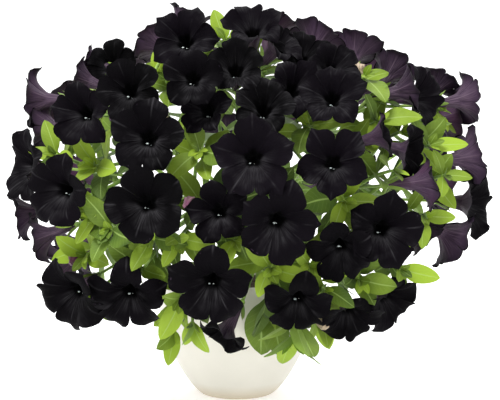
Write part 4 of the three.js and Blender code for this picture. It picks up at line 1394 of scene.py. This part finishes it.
def rounded_path(corners):
    """A path through corners, with each one rounded a little"""
    path = [corners[0]]
    for before, here, after in zip(corners, corners[1:], corners[2:]):
        into, out = unit(here - before), unit(after - here)
        reach = min(TWIG_ROUND, apart(here, before) / 2, apart(after, here) / 2)
        curve = Bezier(here - reach * into, here, here + reach * out)
        path.extend(curve.point(t) for t in TWIG_ROUND_STEPS)
    path.append(corners[-1])
    return [low for low, high in zip(path, path[1:]) if apart(high, low) > SAME_PLACE] + path[-1:]


def add_twig(build, twig):
    line, stations = twig["line"], twig["stations"]
    path = rounded_path([line.point(share) for share in straight_stretches(stations)])
    radii = np.linspace(*TWIG_THICK, len(path))
    if twig["is_tip"]:
        radii[-1] = TWIG_POINT
    add_tube(build, path, radii, TWIG_SIDES)


def add_calyx(build, bloom, draw):
    """Narrow green sepals that hold the foot of a bloom's tube"""
    foot, axis = bloom["foot"], bloom["axis"]
    start = draw(0, LOBE_TURN)
    shape = [way * size for way, size in zip((bloom["right"], bloom["upward"], axis), CALYX_SHAPE)]
    add_ball(build, foot + CALYX_RISE * axis, shape, look=2, columns=10)
    for k in range(SEPALS):
        turn = start + k * LOBE_TURN
        outward = math.cos(turn) * bloom["right"] + math.sin(turn) * bloom["upward"]
        spread = SEPAL_SPREAD + draw(*SEPAL_TURN)
        root = foot - SEPAL_ROOT[0] * axis + SEPAL_ROOT[1] * outward
        sepal = leaf_at(root, axis, outward, spread, -outward, draw(*SEPAL_LENGTH), SEPAL_WIDTH)
        add_leaf(build, sepal, draw, *SEPAL_FORM)


def add_young_leaves(build, twig, draw):
    """The youngest leaves, at the tip of a leafy shoot"""
    place, way, toward = frames_of(twig["line"], twig["stations"])[-1]
    start = draw(0, 360)
    upper = way + vec(0, 0, LEAF_LIFT)
    for k in range(YOUNG_LEAVES):
        outward = toward(start + YOUNG_TURN * k)
        spread = draw(*YOUNG_SPREAD)
        length = twig["leaf"][0] * draw(*YOUNG_LEAF)
        leaf = leaf_at(place - YOUNG_DEPTH * way, way, outward, spread, upper, length, draw(*LEAF_WIDTH))
        add_leaf(build, leaf, draw, YOUNG_THICK)


def dress_shoots(shoots, blooms):
    """Each shoot as two pieces: its leaves and calyxes, and its stem and twigs"""
    materials = [leaf_material("leaf_upper", False), leaf_material("leaf_under", True), stem_material()]
    for index, shoot in enumerate(shoots):
        draw = draws(LEAF_DETAIL_SEED + index)
        leaves, wood = Build(), Build()
        stem = [shoot.stem.point(t) for t in np.linspace(0, 1, STEM_STEPS)]
        add_tube(wood, stem, np.linspace(STEM_RADIUS, STEM_NARROWING * STEM_RADIUS, STEM_STEPS), STEM_SIDES)
        for twig in (each for each in shoot.twigs if each["line"]):
            add_twig(wood, twig)
            for leaf in twig["leaves"]:
                add_leaf(leaves, leaf, draw)
            if twig["is_tip"]:
                add_young_leaves(leaves, twig, draw)
        for bloom in blooms:
            if shoot_at(shoots, bloom["foot"] - FOOT_GAP * bloom["axis"]) is shoot:
                add_calyx(leaves, bloom, draw)
        leaves.piece(f"{shoot.name}_leaves", materials, "green", shoot.name)
        wood.piece(f"{shoot.name}_stems", materials[2:], "green", shoot.name)


make_camera()
make_lights()
make_floor()
make_pot()
make_compost()
bloom_rows = [*FRONT_BLOOMS, *filling_rows(FRONT_BLOOMS)]
blooms = [bloom_of(row, index) for index, row in enumerate(bloom_rows)]
make_blooms(blooms)
for index, row in enumerate(SPENT_BLOOMS):
    make_spent(index, row)
dress_shoots(grow_shoots(blooms), blooms)

bpy.context.scene.view_settings.view_transform = "Standard"
